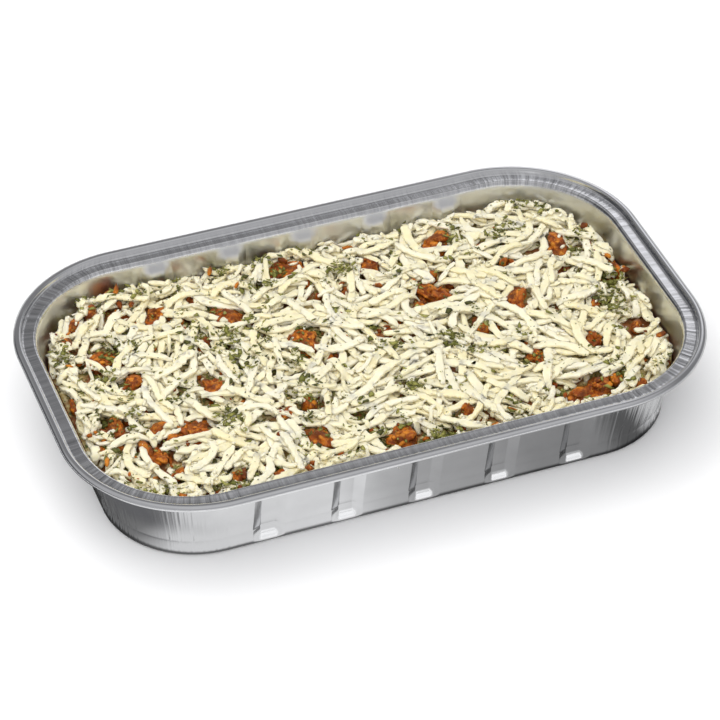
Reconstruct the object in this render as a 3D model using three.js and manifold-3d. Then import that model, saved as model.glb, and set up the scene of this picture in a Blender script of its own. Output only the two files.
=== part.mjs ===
// A ready meal in an oblong foil tray: a smooth-wall aluminium tray with a
// rolled rim and pressed flutes, a meat filling in sauce, lumps of meat that
// stand out of it, and a topping of grated cheese with dried herb.
//
// Units are millimetres. +Z is up, +X runs along the tray, and the origin is
// the centre of the base, on the surface that the tray stands on.

import * as THREE from 'three';
import { mergeVertices } from 'three/addons/utils/BufferGeometryUtils.js';
import Module from 'manifold-3d';

const wasm = await Module();
wasm.setup();

// ---------------------------------------------------------------- dimensions

// Tray, measured to the outside of the rolled rim.
const TRAY_LENGTH = 230;
const TRAY_WIDTH = 141.5;
const RIM_RADIUS = 46.3;
const RIM_TOP = 33.5;
const SKIN = 0.5;

// The wall leans out from the base: an inset is the distance in from the rim.
const BASE_INSET = 14;
const BASE_CURVE = 1.3;
const WALL_TOP = 31;
const WALL_TOP_INSET = 8.7;

// The flange is narrower on the two short sides: there its ledge and the head
// of the wall lie this much further out.
const END_SHIFT = 1.1;

// Flutes: upright grooves pressed into the two long sides.
const FLUTE_COUNT = 5;
const FLUTE_PITCH = 27.65;
const FLUTE_DEPTH = 1.5;
const FLUTE_HALF_MOUTH = 4.6;
const FLUTE_HALF_FLOOR = 0.9;
const FLUTE_FOOT = 3.2;
const FLUTE_FOOT_RAMP = 4.4;
const FLUTE_HEAD_RAMP = 1.4;

// Each quarter-round corner is drawn with this many flat facets.
const CORNER_FACETS = 10;

// Pieces that rest on one another keep this gap.
const GAP = 0.3;

// Food levels.
const FILLING_LEVEL = 20.6;
const CHEESE_EDGE = 23.3;
const CHEESE_CROWN = 1.3;

// Grated cheese: length, width and thickness of a shred, longest and shortest.
const SHRED_COUNT = 132;
const SHRED_LENGTH = { longest: 35, shortest: 12 };
const SHRED_WIDTH = { widest: 3.5, narrowest: 2.6 };
const SHRED_THICKNESS = 1.8;
const SHRED_SPAN = 8.5;
const SHRED_SINK = 0.45;
const SHRED_TOP_LIMIT = 28;

// Dried herb.
const HERB_COUNT = 30;
const HERB_SIZE = 2.6;

// Meat lumps: place of the middle, length, width, and the turn of the length
// from +X in degrees. Each stands this far out of the cheese.
const LUMP_PROUD = 2.4;
const LUMPS = [
  { x: 66, y: -49, length: 19, width: 14, turn: 10 },
  { x: -3, y: -50, length: 16, width: 11, turn: 80 },
  { x: -10, y: 50, length: 16, width: 11, turn: 12 },
  { x: -17, y: 10, length: 16, width: 11, turn: 62 },
  { x: -37, y: 31, length: 14, width: 10, turn: 118 },
  { x: -54, y: -2, length: 12, width: 11, turn: 68 },
  { x: 46, y: 45, length: 14, width: 10, turn: 30 },
  { x: 35, y: 18, length: 17, width: 9, turn: 126 },
  { x: 87, y: 30, length: 13, width: 10, turn: 86 },
  { x: 61, y: 5, length: 15, width: 9, turn: 66 },
  { x: -85, y: 24, length: 14, width: 9, turn: 27 },
  { x: -92, y: -12, length: 15, width: 8, turn: 88 },
  { x: -67, y: -22, length: 13, width: 10, turn: 8 },
  { x: -62, y: 40, length: 14, width: 8, turn: 70 },
  { x: -82, y: -30, length: 10, width: 8, turn: 96 },
  { x: 55, y: -26, length: 10, width: 8, turn: 20 },
  { x: -80, y: 9, length: 9, width: 8, turn: 60 },
  { x: -30, y: -40, length: 12, width: 8, turn: 118 },
  { x: 19, y: 40, length: 10, width: 8, turn: 85 },
  { x: 77, y: -24, length: 9, width: 8, turn: 57 },
];

// ------------------------------------------------------------------- helpers

// A repeatable stream of numbers from 0 to 1.
function numberStream(seed) {
  let state = seed;
  return () => {
    state = (state * 48271) % 2147483647;
    return state / 2147483647;
  };
}

function mix(a, b, t) {
  return a + (b - a) * t;
}

// One closed geometry from a list of [x, y, z] corners and triangles, with its
// faces turned outwards.
function closedGeometry(corners, triangles) {
  const geometry = new THREE.BufferGeometry();
  geometry.setAttribute('position', new THREE.Float32BufferAttribute(corners.flat(), 3));
  const [a, b, c] = [new THREE.Vector3(), new THREE.Vector3(), new THREE.Vector3()];
  let volume = 0;
  for (const [i, j, k] of triangles) {
    a.fromArray(corners[i]);
    b.fromArray(corners[j]);
    c.fromArray(corners[k]);
    volume += a.dot(b.cross(c));
  }
  const outward = volume > 0 ? triangles : triangles.map(([i, j, k]) => [i, k, j]);
  geometry.setIndex(outward.flat());
  geometry.computeVertexNormals();
  return geometry;
}

function toSolid(geometry) {
  const bare = geometry.clone();
  bare.deleteAttribute('normal');
  bare.deleteAttribute('uv');
  const merged = mergeVertices(bare, 1e-4);
  return new wasm.Manifold(new wasm.Mesh({
    numProp: 3,
    vertProperties: new Float32Array(merged.attributes.position.array),
    triVerts: new Uint32Array(merged.index.array),
  }));
}

// The largest connected shell of a solid, so that loose scraps are dropped and
// sealed hollows are filled.
function largestShell(solid) {
  return solid.decompose().reduce((best, shell) => (shell.volume() > best.volume() ? shell : best));
}

function toGeometry(solid) {
  const mesh = solid.getMesh();
  const geometry = new THREE.BufferGeometry();
  geometry.setAttribute('position', new THREE.BufferAttribute(new Float32Array(mesh.vertProperties), 3));
  geometry.setIndex(new THREE.BufferAttribute(new Uint32Array(mesh.triVerts), 1));
  geometry.computeVertexNormals();
  return geometry;
}

// ------------------------------------------------------ outline of the tray

// Stations round the tray's outline, anticlockwise from the start of the
// right rear corner. Each gives its point for an inset and an outward shift of
// the short sides, how much of a flute it takes, and its distance round the
// outline.
function outlineStations(withFlutes) {
  const halfX = TRAY_LENGTH / 2 - RIM_RADIUS;
  const halfY = TRAY_WIDTH / 2 - RIM_RADIUS;
  const arc = (RIM_RADIUS * Math.PI) / 2;
  const sides = [2 * halfX, 2 * halfY, 2 * halfX, 2 * halfY];
  const stations = [];
  let travelled = 0;
  for (let corner = 0; corner < 4; corner += 1) {
    const centreX = corner === 0 || corner === 3 ? halfX : -halfX;
    const centreY = corner < 2 ? halfY : -halfY;
    for (let step = 0; step <= CORNER_FACETS; step += 1) {
      const angle = (Math.PI / 2) * (corner + step / CORNER_FACETS);
      stations.push({
        distance: travelled + (arc * step) / CORNER_FACETS,
        flute: 0,
        at: (inset, shift) => [
          centreX + Math.sign(centreX) * shift + (RIM_RADIUS - inset) * Math.cos(angle),
          centreY + (RIM_RADIUS - inset) * Math.sin(angle),
        ],
      });
    }
    travelled += arc;
    if (withFlutes && corner % 2 === 0) {
      const out = corner === 0 ? 1 : -1;
      for (let flute = 0; flute < FLUTE_COUNT; flute += 1) {
        const middle = (flute - (FLUTE_COUNT - 1) / 2) * FLUTE_PITCH;
        const profile = [
          [-FLUTE_HALF_MOUTH, 0],
          [-FLUTE_HALF_FLOOR, 1],
          [FLUTE_HALF_FLOOR, 1],
          [FLUTE_HALF_MOUTH, 0],
        ];
        for (const [across, depth] of profile) {
          const along = middle + across;
          stations.push({
            distance: travelled + halfX + along,
            flute: depth,
            at: (inset) => [-out * along, out * (TRAY_WIDTH / 2 - inset)],
          });
        }
      }
    }
    travelled += sides[corner];
  }
  return stations;
}

const PLAIN_STATIONS = outlineStations(false);
const FLUTED_STATIONS = outlineStations(true);

// Inset of the wall's outer face at a height.
function wallInset(z) {
  return mix(BASE_INSET, WALL_TOP_INSET, z / WALL_TOP);
}

// How much further out the short sides of the wall lie at a height.
function wallShift(z) {
  return (END_SHIFT * z) / WALL_TOP;
}

// How deep the flutes are at a height: nothing at the foot and under the rim.
function fluteDepth(z) {
  const foot = THREE.MathUtils.clamp((z - FLUTE_FOOT) / FLUTE_FOOT_RAMP, 0, 1);
  const head = THREE.MathUtils.clamp((WALL_TOP - z) / FLUTE_HEAD_RAMP, 0, 1);
  return FLUTE_DEPTH * Math.min(foot, head);
}

// A ring of corners: the outline at an inset and a height.
function ring(inset, z, shift = 0) {
  return PLAIN_STATIONS.map(({ distance, at }) => ({ distance, corner: [...at(inset, shift), z] }));
}

// The same on the wall, with its flutes, at a clearance inside its outer face.
function wallRing(z, clearance) {
  return FLUTED_STATIONS.map(({ distance, flute, at }) => ({
    distance,
    corner: [...at(wallInset(z) + clearance + flute * fluteDepth(z), wallShift(z)), z],
  }));
}

function span(a, b) {
  return Math.hypot(a[0] - b[0], a[1] - b[1], a[2] - b[2]);
}

// A closed body from rings in order, closed by a point at either end. Rings
// with unlike numbers of corners are zipped together by distance round the
// outline, and a four-sided facet is split along its shorter diagonal.
function ringBody(startPoint, rings, endPoint) {
  const corners = [startPoint, ...rings.flatMap((r) => r.map((s) => s.corner)), endPoint];
  const triangles = [];
  let first = 1;
  rings.forEach((current, r) => {
    const count = current.length;
    if (r === 0) {
      for (let i = 0; i < count; i += 1) {
        triangles.push([0, first + i, first + ((i + 1) % count)]);
      }
    }
    const next = rings[r + 1];
    const nextFirst = first + count;
    if (!next) {
      for (let i = 0; i < count; i += 1) {
        triangles.push([first + i, corners.length - 1, first + ((i + 1) % count)]);
      }
      return;
    }
    let i = 0;
    let j = 0;
    while (i < count || j < next.length) {
      const stepHere = i + 1 < count ? current[i + 1].distance : Infinity;
      const stepThere = j + 1 < next.length ? next[j + 1].distance : Infinity;
      let here = i < count && (j >= next.length || stepHere <= stepThere);
      if (stepHere === stepThere && stepHere < Infinity) {
        here = span(current[i + 1].corner, next[j].corner) <= span(current[i].corner, next[j + 1].corner);
      }
      const a = first + (i % count);
      const b = nextFirst + (j % next.length);
      if (here) {
        i += 1;
        triangles.push([a, b, first + (i % count)]);
      } else {
        j += 1;
        triangles.push([a, b, nextFirst + (j % next.length)]);
      }
    }
    first = nextFirst;
  });
  return closedGeometry(corners, triangles);
}

// ---------------------------------------------------------------------- tray

// Heights where the wall's slope or its flutes change.
const WALL_HEIGHTS = [FLUTE_FOOT, FLUTE_FOOT + FLUTE_FOOT_RAMP, WALL_TOP - FLUTE_HEAD_RAMP, WALL_TOP];

// The rim in section, from under the ledge, round the roll and back in over
// the ledge to the lip: [inset, drop below the rim's top, share of END_SHIFT].
const RIM_SECTION = [
  [7.9, 2.25, 1],
  [4.6, 2.2, 1],
  [3.2, 2, 0.5],
  [1.5, 2.15, 0],
  [0.4, 1.7, 0],
  [0, 1, 0],
  [0.5, 0.35, 0],
  [2, 0, 0],
  [3.3, 0.5, 0.5],
  [4.7, 1.65, 1],
  [7.8, 1.75, 1],
  [8.5, 2.1, 1],
];

function trayGeometry() {
  const outside = [
    ring(BASE_INSET + BASE_CURVE, 0),
    ring(wallInset(BASE_CURVE), BASE_CURVE, wallShift(BASE_CURVE)),
    ...WALL_HEIGHTS.map((z) => wallRing(z, 0)),
  ];
  const rim = RIM_SECTION.map(([inset, drop, share]) => ring(inset, RIM_TOP - drop, share * END_SHIFT));
  const inside = [
    ...WALL_HEIGHTS.toReversed().map((z) => wallRing(z, SKIN)),
    ring(wallInset(BASE_CURVE) + SKIN, BASE_CURVE + SKIN, wallShift(BASE_CURVE)),
    ring(BASE_INSET + BASE_CURVE + SKIN, SKIN),
  ];
  return ringBody([0, 0, 0], [...outside, ...rim, ...inside], [0, 0, SKIN]);
}

// ------------------------------------------------------------------- filling

// The filling runs through the whole tray, up to its own level.
function fillingGeometry() {
  const clear = SKIN + GAP;
  const levels = [...WALL_HEIGHTS.filter((z) => z < FILLING_LEVEL), FILLING_LEVEL - 1];
  return ringBody(
    [0, 0, clear],
    [
      ring(BASE_INSET + BASE_CURVE + clear, clear),
      ring(wallInset(BASE_CURVE) + clear, BASE_CURVE + clear, wallShift(BASE_CURVE)),
      ...levels.map((z) => wallRing(z, clear)),
      wallRing(FILLING_LEVEL, clear + 2),
    ],
    [0, 0, FILLING_LEVEL],
  );
}

// ----------------------------------------------------------- cheese: the core

// Height of the bare heap under the shreds: a low crown with gentle swells.
function coreTop(x, y) {
  const u = x / (TRAY_LENGTH / 2);
  const v = y / (TRAY_WIDTH / 2);
  const crown = CHEESE_CROWN * (1 - u * u) * (1 - v * v);
  const swell = 0.35 * Math.sin(x / 13 + 0.6) * Math.cos(y / 11) + 0.2 * Math.sin(x / 6 - y / 8);
  return CHEESE_EDGE + crown + swell;
}

// The heap's edge wanders, so that the filling shows here and there along the
// wall. It stays clear of the flutes.
function edgeWander(distance) {
  return 1.1 + 0.7 * Math.sin(distance / 17) + 0.4 * Math.sin(distance / 7.3 + 2);
}

function coreGeometry() {
  const nearWall = wallInset(CHEESE_EDGE) + SKIN + GAP + FLUTE_DEPTH;
  const shrunk = (scale, height) => PLAIN_STATIONS.map(({ distance, at }) => {
    const inset = nearWall + edgeWander(distance);
    const [x, y] = at(inset, wallShift(CHEESE_EDGE)).map((value) => value * scale);
    return { distance, corner: [x, y, height(x, y)] };
  });
  const floor = FILLING_LEVEL + GAP;
  return ringBody(
    [0, 0, floor],
    [
      shrunk(0.985, () => floor),
      shrunk(1, (x, y) => mix(floor, coreTop(x, y), 0.45)),
      ...[0.97, 0.86, 0.7, 0.52, 0.34, 0.16].map((scale) => shrunk(scale, coreTop)),
    ],
    [0, 0, coreTop(0, 0)],
  );
}

// ------------------------------------------------------------- meat lumps

// Distance of a point from a lump's middle, 1 on an outline grown by a margin.
function lumpReach(lump, x, y, margin) {
  const turn = THREE.MathUtils.degToRad(lump.turn);
  const [dx, dy] = [x - lump.x, y - lump.y];
  const along = dx * Math.cos(turn) + dy * Math.sin(turn);
  const across = -dx * Math.sin(turn) + dy * Math.cos(turn);
  return Math.hypot(along / (lump.length / 2 + margin), across / (lump.width / 2 + margin));
}

// A lump rests on the filling and stands a little out of the cheese. Its
// surface is a ball pushed in and out by a few waves, flat where it rests.
function lumpGeometry(lump, index) {
  const bottom = FILLING_LEVEL + GAP;
  const halfHeight = (coreTop(lump.x, lump.y) + LUMP_PROUD - bottom) / 2;
  const ball = mergeVertices(new THREE.IcosahedronGeometry(1, 1).deleteAttribute('normal').deleteAttribute('uv'), 1e-4);
  const place = ball.attributes.position;
  const point = new THREE.Vector3();
  for (let i = 0; i < place.count; i += 1) {
    point.fromBufferAttribute(place, i);
    const wave = Math.sin(4.1 * point.x + index) * Math.cos(3.7 * point.y + 2 * point.z - 2 * index);
    const size = 0.85 + 0.15 * wave;
    place.setXYZ(
      i,
      (point.x * size * lump.length) / 2,
      (point.y * size * lump.width) / 2,
      Math.max(point.z * size, -0.8) * halfHeight * 1.1,
    );
  }
  ball.rotateZ(THREE.MathUtils.degToRad(lump.turn));
  ball.computeBoundingBox();
  ball.translate(lump.x, lump.y, bottom - ball.boundingBox.min.z);
  ball.computeVertexNormals();
  return ball;
}

// The well that a lump stands in: an upright prism just clear of it.
function lumpWell(lump) {
  const sides = 10;
  const outline = new THREE.Shape();
  for (let i = 0; i < sides; i += 1) {
    const angle = (2 * Math.PI * i) / sides;
    const clear = GAP / Math.cos(Math.PI / sides);
    const x = (lump.length / 2 + clear) * Math.cos(angle);
    const y = (lump.width / 2 + clear) * Math.sin(angle);
    if (i === 0) outline.moveTo(x, y);
    else outline.lineTo(x, y);
  }
  outline.closePath();
  const prism = new THREE.ExtrudeGeometry(outline, { depth: RIM_TOP, bevelEnabled: false });
  prism.rotateZ(THREE.MathUtils.degToRad(lump.turn));
  prism.translate(lump.x, lump.y, FILLING_LEVEL - 1);
  return prism;
}

// --------------------------------------------------------- cheese: the shreds

// The middle line of a shred, an arc with the shred's bend, cut into straight
// spans of about SHRED_SPAN.
function shredPath({ x, y, heading, bend, length }) {
  const spans = Math.max(2, Math.round(length / SHRED_SPAN));
  const radius = length / bend;
  return Array.from({ length: spans + 1 }, (_, i) => {
    const turned = bend * (i / spans - 0.5);
    const [along, across] = [radius * Math.sin(turned), radius * (1 - Math.cos(turned))];
    return {
      x: x + along * Math.cos(heading) - across * Math.sin(heading),
      y: y + along * Math.sin(heading) + across * Math.cos(heading),
      heading: heading + turned,
    };
  });
}

// Whether a point is inside the tray by a margin, at the height of the shreds.
function insideTray(x, y, margin) {
  const inset = wallInset(CHEESE_EDGE) + SKIN + GAP + FLUTE_DEPTH + margin;
  const radius = RIM_RADIUS - inset;
  const overX = Math.abs(x) - (TRAY_LENGTH / 2 - RIM_RADIUS);
  const overY = Math.abs(y) - (TRAY_WIDTH / 2 - RIM_RADIUS);
  if (overX > 0 && overY > 0) return Math.hypot(overX, overY) < radius;
  return overX < radius && overY < radius;
}

function pathIsClear(path, halfWidth) {
  return path.every(({ x, y }) => insideTray(x, y, halfWidth)
    && LUMPS.every((lump) => lumpReach(lump, x, y, halfWidth + GAP) > 1));
}

// Height of the heap at a point, with the shreds laid so far.
function heapTop(x, y, laid) {
  return laid.reduce((top, shred) => {
    const near = shred.path.reduce(
      (best, p, i) => {
        const distance = Math.hypot(p.x - x, p.y - y);
        return distance < best.distance ? { distance, z: shred.heights[i] } : best;
      },
      { distance: Infinity, z: 0 },
    );
    return near.distance < SHRED_SPAN / 2
      ? Math.max(top, near.z + SHRED_THICKNESS / 2) : top;
  }, coreTop(x, y));
}

// A shred lies on what is under it and bends only gently, so a section that
// hangs below the line between its neighbours is lifted half way to it.
function restingHeights(path, laid) {
  const rest = path.map((p) => heapTop(p.x, p.y, laid) - SHRED_SINK + SHRED_THICKNESS / 2);
  return rest.map((z, i) => {
    const before = rest[Math.max(i - 1, 0)];
    const after = rest[Math.min(i + 1, rest.length - 1)];
    const line = (before + after) / 2;
    return z < line ? mix(z, line, 0.5) : z;
  });
}

function shredGeometry({ path, heights, width }) {
  const corners = [];
  const triangles = [];
  path.forEach((p, i) => {
    const taper = i === 0 || i === path.length - 1 ? 0.6 : 1;
    const [acrossX, acrossY] = [-Math.sin(p.heading), Math.cos(p.heading)];
    const half = (width / 2) * taper;
    const rise = (SHRED_THICKNESS / 2) * taper;
    for (const [side, up] of [[-1, -1], [1, -1], [0.75, 1], [-0.75, 1]]) {
      corners.push([p.x + side * half * acrossX, p.y + side * half * acrossY, heights[i] + up * rise]);
    }
    if (i === 0) return;
    const [near, far] = [4 * (i - 1), 4 * i];
    for (let k = 0; k < 4; k += 1) {
      const next = (k + 1) % 4;
      triangles.push([near + k, far + k, near + next], [near + next, far + k, far + next]);
    }
  });
  const last = 4 * (path.length - 1);
  triangles.push([0, 1, 2], [0, 2, 3], [last, last + 2, last + 1], [last, last + 3, last + 2]);
  return closedGeometry(corners, triangles);
}

// Shreds are laid longest first. Each takes the emptiest of a few places, and
// is shortened or skipped where it would cross the tray or a lump of meat.
function layShreds() {
  const next = numberStream(20260);
  const laid = [];
  for (let i = 0; i < SHRED_COUNT; i += 1) {
    const share = i / (SHRED_COUNT - 1);
    const fullLength = mix(SHRED_LENGTH.longest, SHRED_LENGTH.shortest, Math.sqrt(share));
    const width = mix(SHRED_WIDTH.narrowest, SHRED_WIDTH.widest, next());
    let best = null;
    for (let attempt = 0; attempt < 14; attempt += 1) {
      const shred = {
        x: (next() - 0.5) * (TRAY_LENGTH - 2 * BASE_INSET),
        y: (next() - 0.5) * (TRAY_WIDTH - 2 * BASE_INSET),
        heading: next() * Math.PI,
        bend: mix(0.2, 0.9, next()) * (next() < 0.5 ? -1 : 1),
        length: fullLength * (attempt < 9 ? 1 : 0.7),
        width,
      };
      shred.path = shredPath(shred);
      if (pathIsClear(shred.path, width / 2)) {
        const room = laid.reduce(
          (least, other) => Math.min(least, Math.hypot(other.x - shred.x, other.y - shred.y)),
          Infinity,
        );
        if (!best || room > best.room) best = { ...shred, room };
      }
    }
    if (best) {
      best.heights = restingHeights(best.path, laid);
      if (Math.max(...best.heights) + SHRED_THICKNESS / 2 < SHRED_TOP_LIMIT) laid.push(best);
    }
  }
  return laid;
}

// ------------------------------------------------------------ cheese: herb

// A herb flake is a small leaning wedge, half sunk in what it lies on.
function herbGeometry(x, y, z, heading, size) {
  const across = [Math.cos(heading), Math.sin(heading)];
  const along = [-Math.sin(heading), Math.cos(heading)];
  const corner = (a, b, up) => [
    x + size * (a * across[0] + b * along[0]),
    y + size * (a * across[1] + b * along[1]),
    z + size * up,
  ];
  return closedGeometry(
    [corner(-0.5, -0.3, 0.12), corner(0.5, -0.35, 0.2), corner(0, 0.5, 0.3), corner(0, 0, -0.25)],
    [[0, 1, 2], [0, 3, 1], [1, 3, 2], [2, 3, 0]],
  );
}

function scatterHerb(laid) {
  const next = numberStream(771);
  const flakes = [];
  while (flakes.length < HERB_COUNT) {
    const x = (next() - 0.5) * TRAY_LENGTH;
    const y = (next() - 0.5) * TRAY_WIDTH;
    const heading = next() * 2 * Math.PI;
    const clear = insideTray(x, y, HERB_SIZE + 2)
      && LUMPS.every((lump) => lumpReach(lump, x, y, HERB_SIZE) > 1);
    if (clear) flakes.push(herbGeometry(x, y, heapTop(x, y, laid), heading, HERB_SIZE));
  }
  return flakes;
}

// The whole topping: the core and what is fused to it, cut clear of the meat.
function cheeseGeometry() {
  const laid = layShreds();
  const pieces = [...laid.map(shredGeometry), ...scatterHerb(laid)];
  const heap = pieces.reduce((sum, piece) => sum.add(toSolid(piece)), toSolid(coreGeometry()));
  const open = LUMPS.reduce((rest, lump) => rest.subtract(toSolid(lumpWell(lump))), heap);
  return toGeometry(largestShell(open));
}

// ------------------------------------------------------------------ the meal

const MATERIALS = {
  foil: { color: 0xc4c6ca, metalness: 1, roughness: 0.3 },
  sauce: { color: 0x8a3a16, metalness: 0, roughness: 0.35 },
  meat: { color: 0xb85a22, metalness: 0, roughness: 0.45 },
  cheese: { color: 0xf1ecd2, metalness: 0, roughness: 0.6 },
};

const meal = new THREE.Group();

function addPiece(name, geometry, finish) {
  const piece = new THREE.Mesh(geometry, new THREE.MeshStandardMaterial(MATERIALS[finish]));
  piece.name = name;
  meal.add(piece);
}

addPiece('tray', trayGeometry(), 'foil');
addPiece('filling', fillingGeometry(), 'sauce');
addPiece('cheese_topping', cheeseGeometry(), 'cheese');
LUMPS.forEach((lump, index) => {
  const number = String(index + 1).padStart(2, '0');
  addPiece(`meat_lump_${number}`, lumpGeometry(lump, index), 'meat');
});

export default meal;
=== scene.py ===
# %% [markdown]
# # A ready meal in a foil tray
# The tray is pressed from thin aluminium, with a rolled rim and grooves down
# its long sides. In it lies meat in sauce, and on that a heap of grated cheese
# with dried herb, out of which lumps of meat stand. The imported model gives the
# sizes, so the first step loads it.

# %% Load the imported model
import math

import bpy
import numpy as np
from mathutils import Matrix, Vector


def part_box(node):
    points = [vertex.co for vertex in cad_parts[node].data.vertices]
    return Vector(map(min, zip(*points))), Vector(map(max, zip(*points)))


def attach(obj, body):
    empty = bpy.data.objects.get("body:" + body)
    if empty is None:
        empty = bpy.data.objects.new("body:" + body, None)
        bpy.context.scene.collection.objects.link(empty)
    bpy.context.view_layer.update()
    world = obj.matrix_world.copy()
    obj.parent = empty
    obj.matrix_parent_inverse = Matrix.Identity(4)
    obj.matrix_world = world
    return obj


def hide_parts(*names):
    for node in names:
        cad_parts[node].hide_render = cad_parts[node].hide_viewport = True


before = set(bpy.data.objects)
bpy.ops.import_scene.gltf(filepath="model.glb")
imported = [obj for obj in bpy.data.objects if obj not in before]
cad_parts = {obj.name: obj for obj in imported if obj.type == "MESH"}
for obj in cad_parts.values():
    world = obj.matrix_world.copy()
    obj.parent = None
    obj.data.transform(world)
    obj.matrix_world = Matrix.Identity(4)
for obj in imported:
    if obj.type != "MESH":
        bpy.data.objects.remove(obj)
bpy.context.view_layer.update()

# %% [markdown]
# ## Working in millimetres
# Blender counts in metres, but a shred of cheese is easier to think of as
# 3 mm wide. All shapes are worked out as numpy arrays in millimetres, and one
# helper turns them into metres when it fills the mesh. Whole arrays go in at
# once with foreach_set, which is far quicker than adding corners one by one.

# %% Mesh helpers
MM = 0.001


def new_piece(name, points, faces, finish, smooth=True, **tones):
    """A mesh from points (..., 3) in mm and a list of arrays of corner numbers, one array for
    triangles and one for quads. Each further named array becomes a value on every point."""
    points = points.reshape(-1, 3)
    corners = np.concatenate([f.ravel() for f in faces]).astype(np.int32)
    sizes = np.concatenate([np.full(len(f), f.shape[1], np.int32) for f in faces])
    starts = np.cumsum(sizes) - sizes
    mesh = bpy.data.meshes.new(name)
    mesh.vertices.add(len(points))
    mesh.vertices.foreach_set("co", (points * MM).astype(np.float32).ravel())
    mesh.loops.add(len(corners))
    mesh.loops.foreach_set("vertex_index", corners)
    mesh.polygons.add(len(sizes))
    mesh.polygons.foreach_set("loop_start", starts.astype(np.int32))
    mesh.polygons.foreach_set("use_smooth", np.full(len(sizes), smooth))
    mesh.update(calc_edges=True)
    for tone_name, values in tones.items():
        layer = mesh.attributes.new(tone_name, "FLOAT", "POINT")
        layer.data.foreach_set("value", values.astype(np.float32).ravel())
    piece = bpy.data.objects.new(name, mesh)
    bpy.context.scene.collection.objects.link(piece)
    mesh.materials.append(finish)
    print(f"{name}: {len(points)} points, {int((sizes - 2).sum())} triangles")
    return piece


def grid_faces(rows, columns, closed=True):
    """Quads between neighbouring rows and columns. In a closed grid the last column is joined to
    the first, as round a tube."""
    r, c = np.meshgrid(np.arange(rows - 1), np.arange(columns if closed else columns - 1), indexing="ij")
    following = (c + 1) % columns
    quads = [r * columns + c, r * columns + following, (r + 1) * columns + following, (r + 1) * columns + c]
    return np.stack(quads, -1).reshape(-1, 4)


def repeated(faces, count, size):
    """The same faces for each of `count` equal parts, which have `size` points each."""
    start = (np.arange(count) * size)[:, None, None]
    return (faces + start).reshape(-1, faces.shape[-1])


def with_poles(grid):
    """Points or tones (tubes, rows, columns, ...) as one row for each tube, followed by the means
    of its first and of its last section, which stand for its two poles."""
    poles = np.stack([grid[:, 0].mean(1), grid[:, -1].mean(1)], 1)
    return np.concatenate([grid.reshape(len(grid), -1, *grid.shape[3:]), poles], 1)


def closed_tubes(sections):
    """Points and faces of closed forms from sections (tubes, rows, columns, 3): quads round each
    tube, and a fan of triangles from each pole to the first or last section."""
    count, rows, columns = sections.shape[:3]
    size = rows * columns + 2
    last = (rows - 1) * columns
    here = np.arange(columns)
    following = (here + 1) % columns
    fans = np.concatenate([np.stack([np.full(columns, size - 2), following, here], -1),
                           np.stack([np.full(columns, size - 1), last + here, last + following], -1)])
    faces = [repeated(grid_faces(rows, columns), count, size), repeated(fans, count, size)]
    return with_poles(sections), faces


# %% [markdown]
# ## A few small formulas
# Soft steps, bell curves and turns come up all through the tray and the food,
# so each is written down once, in the words of what it does.

# %% Formulas
def share(value, start, end):
    """How far the value has come on its way from start to end: 0 before it, 1 after it."""
    return np.clip((value - start) / (end - start), 0, 1)


def ramp(value, start, end):
    """The same share t as a smooth S: t times t times (3 less 2 t)."""
    t = share(value, start, end)
    return t * t * (3 - 2 * t)


def bell(distance, reach):
    """1 at no distance, and falling to about a third at the reach."""
    return np.exp(-((distance / reach) ** 2))


def turned(x, y, angle):
    """Points turned anticlockwise about the origin."""
    return x * math.cos(angle) - y * math.sin(angle), x * math.sin(angle) + y * math.cos(angle)


def axes_of(points):
    """The x, y and z of points (..., 3), each as an array of its own."""
    return np.moveaxis(points, -1, 0)


# %% [markdown]
# ## Noise worked out in numpy
# Food and foil are uneven, and the unevenness has to be in the mesh to show in
# its outline. The simplest useful noise is a lattice of random numbers with a
# smooth blend between neighbours. The lattice numbers come from a sine of the
# place, so the same place always gets the same number.

# %% Lattice noise
LATTICE_STEPS = (127.1, 311.7, 74.7, 19.19)
LATTICE_SPREAD = 43758.5453


def lattice_number(*place_and_seed):
    """A number from -1 to 1 for each lattice place and seed, the fraction of a large sine."""
    value = np.sin(sum(part * step for part, step in zip(place_and_seed, LATTICE_STEPS))) * LATTICE_SPREAD
    return 2 * (value - np.floor(value)) - 1


def soft_noise(x, y, z, size, seed):
    """Smooth noise from -1 to 1 with bumps about `size` mm across: each point blends the eight
    lattice numbers round it, weighted by its place between them."""
    cells = [np.asarray(axis, float) / size for axis in np.broadcast_arrays(x, y, z)]
    low = [np.floor(axis) for axis in cells]
    part = [ramp(axis - floor, 0, 1) for axis, floor in zip(cells, low)]
    total = 0
    for z_step, y_step, x_step in np.ndindex(2, 2, 2):
        steps = (x_step, y_step, z_step)
        weight = math.prod(t if step else 1 - t for t, step in zip(part, steps))
        corner = [floor + step for floor, step in zip(low, steps)]
        total = total + weight * lattice_number(*corner, seed)
    return total


# %% [markdown]
# ## The camera
# A long lens from far away keeps the tray's sides nearly parallel. The camera
# stands to the left of the front, and looks down at forty degrees.

# %% Camera
CAMERA_TURN, CAMERA_RISE, CAMERA_ROLL = (math.radians(angle) for angle in (-20.96, 39.89, 0.32))
CAMERA_DISTANCE = 1.1148
CAMERA_TARGET = Vector((0.00764, 0.0202, 0))
CAMERA_LENS = 156.54
CAMERA_SENSOR = 36


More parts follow.
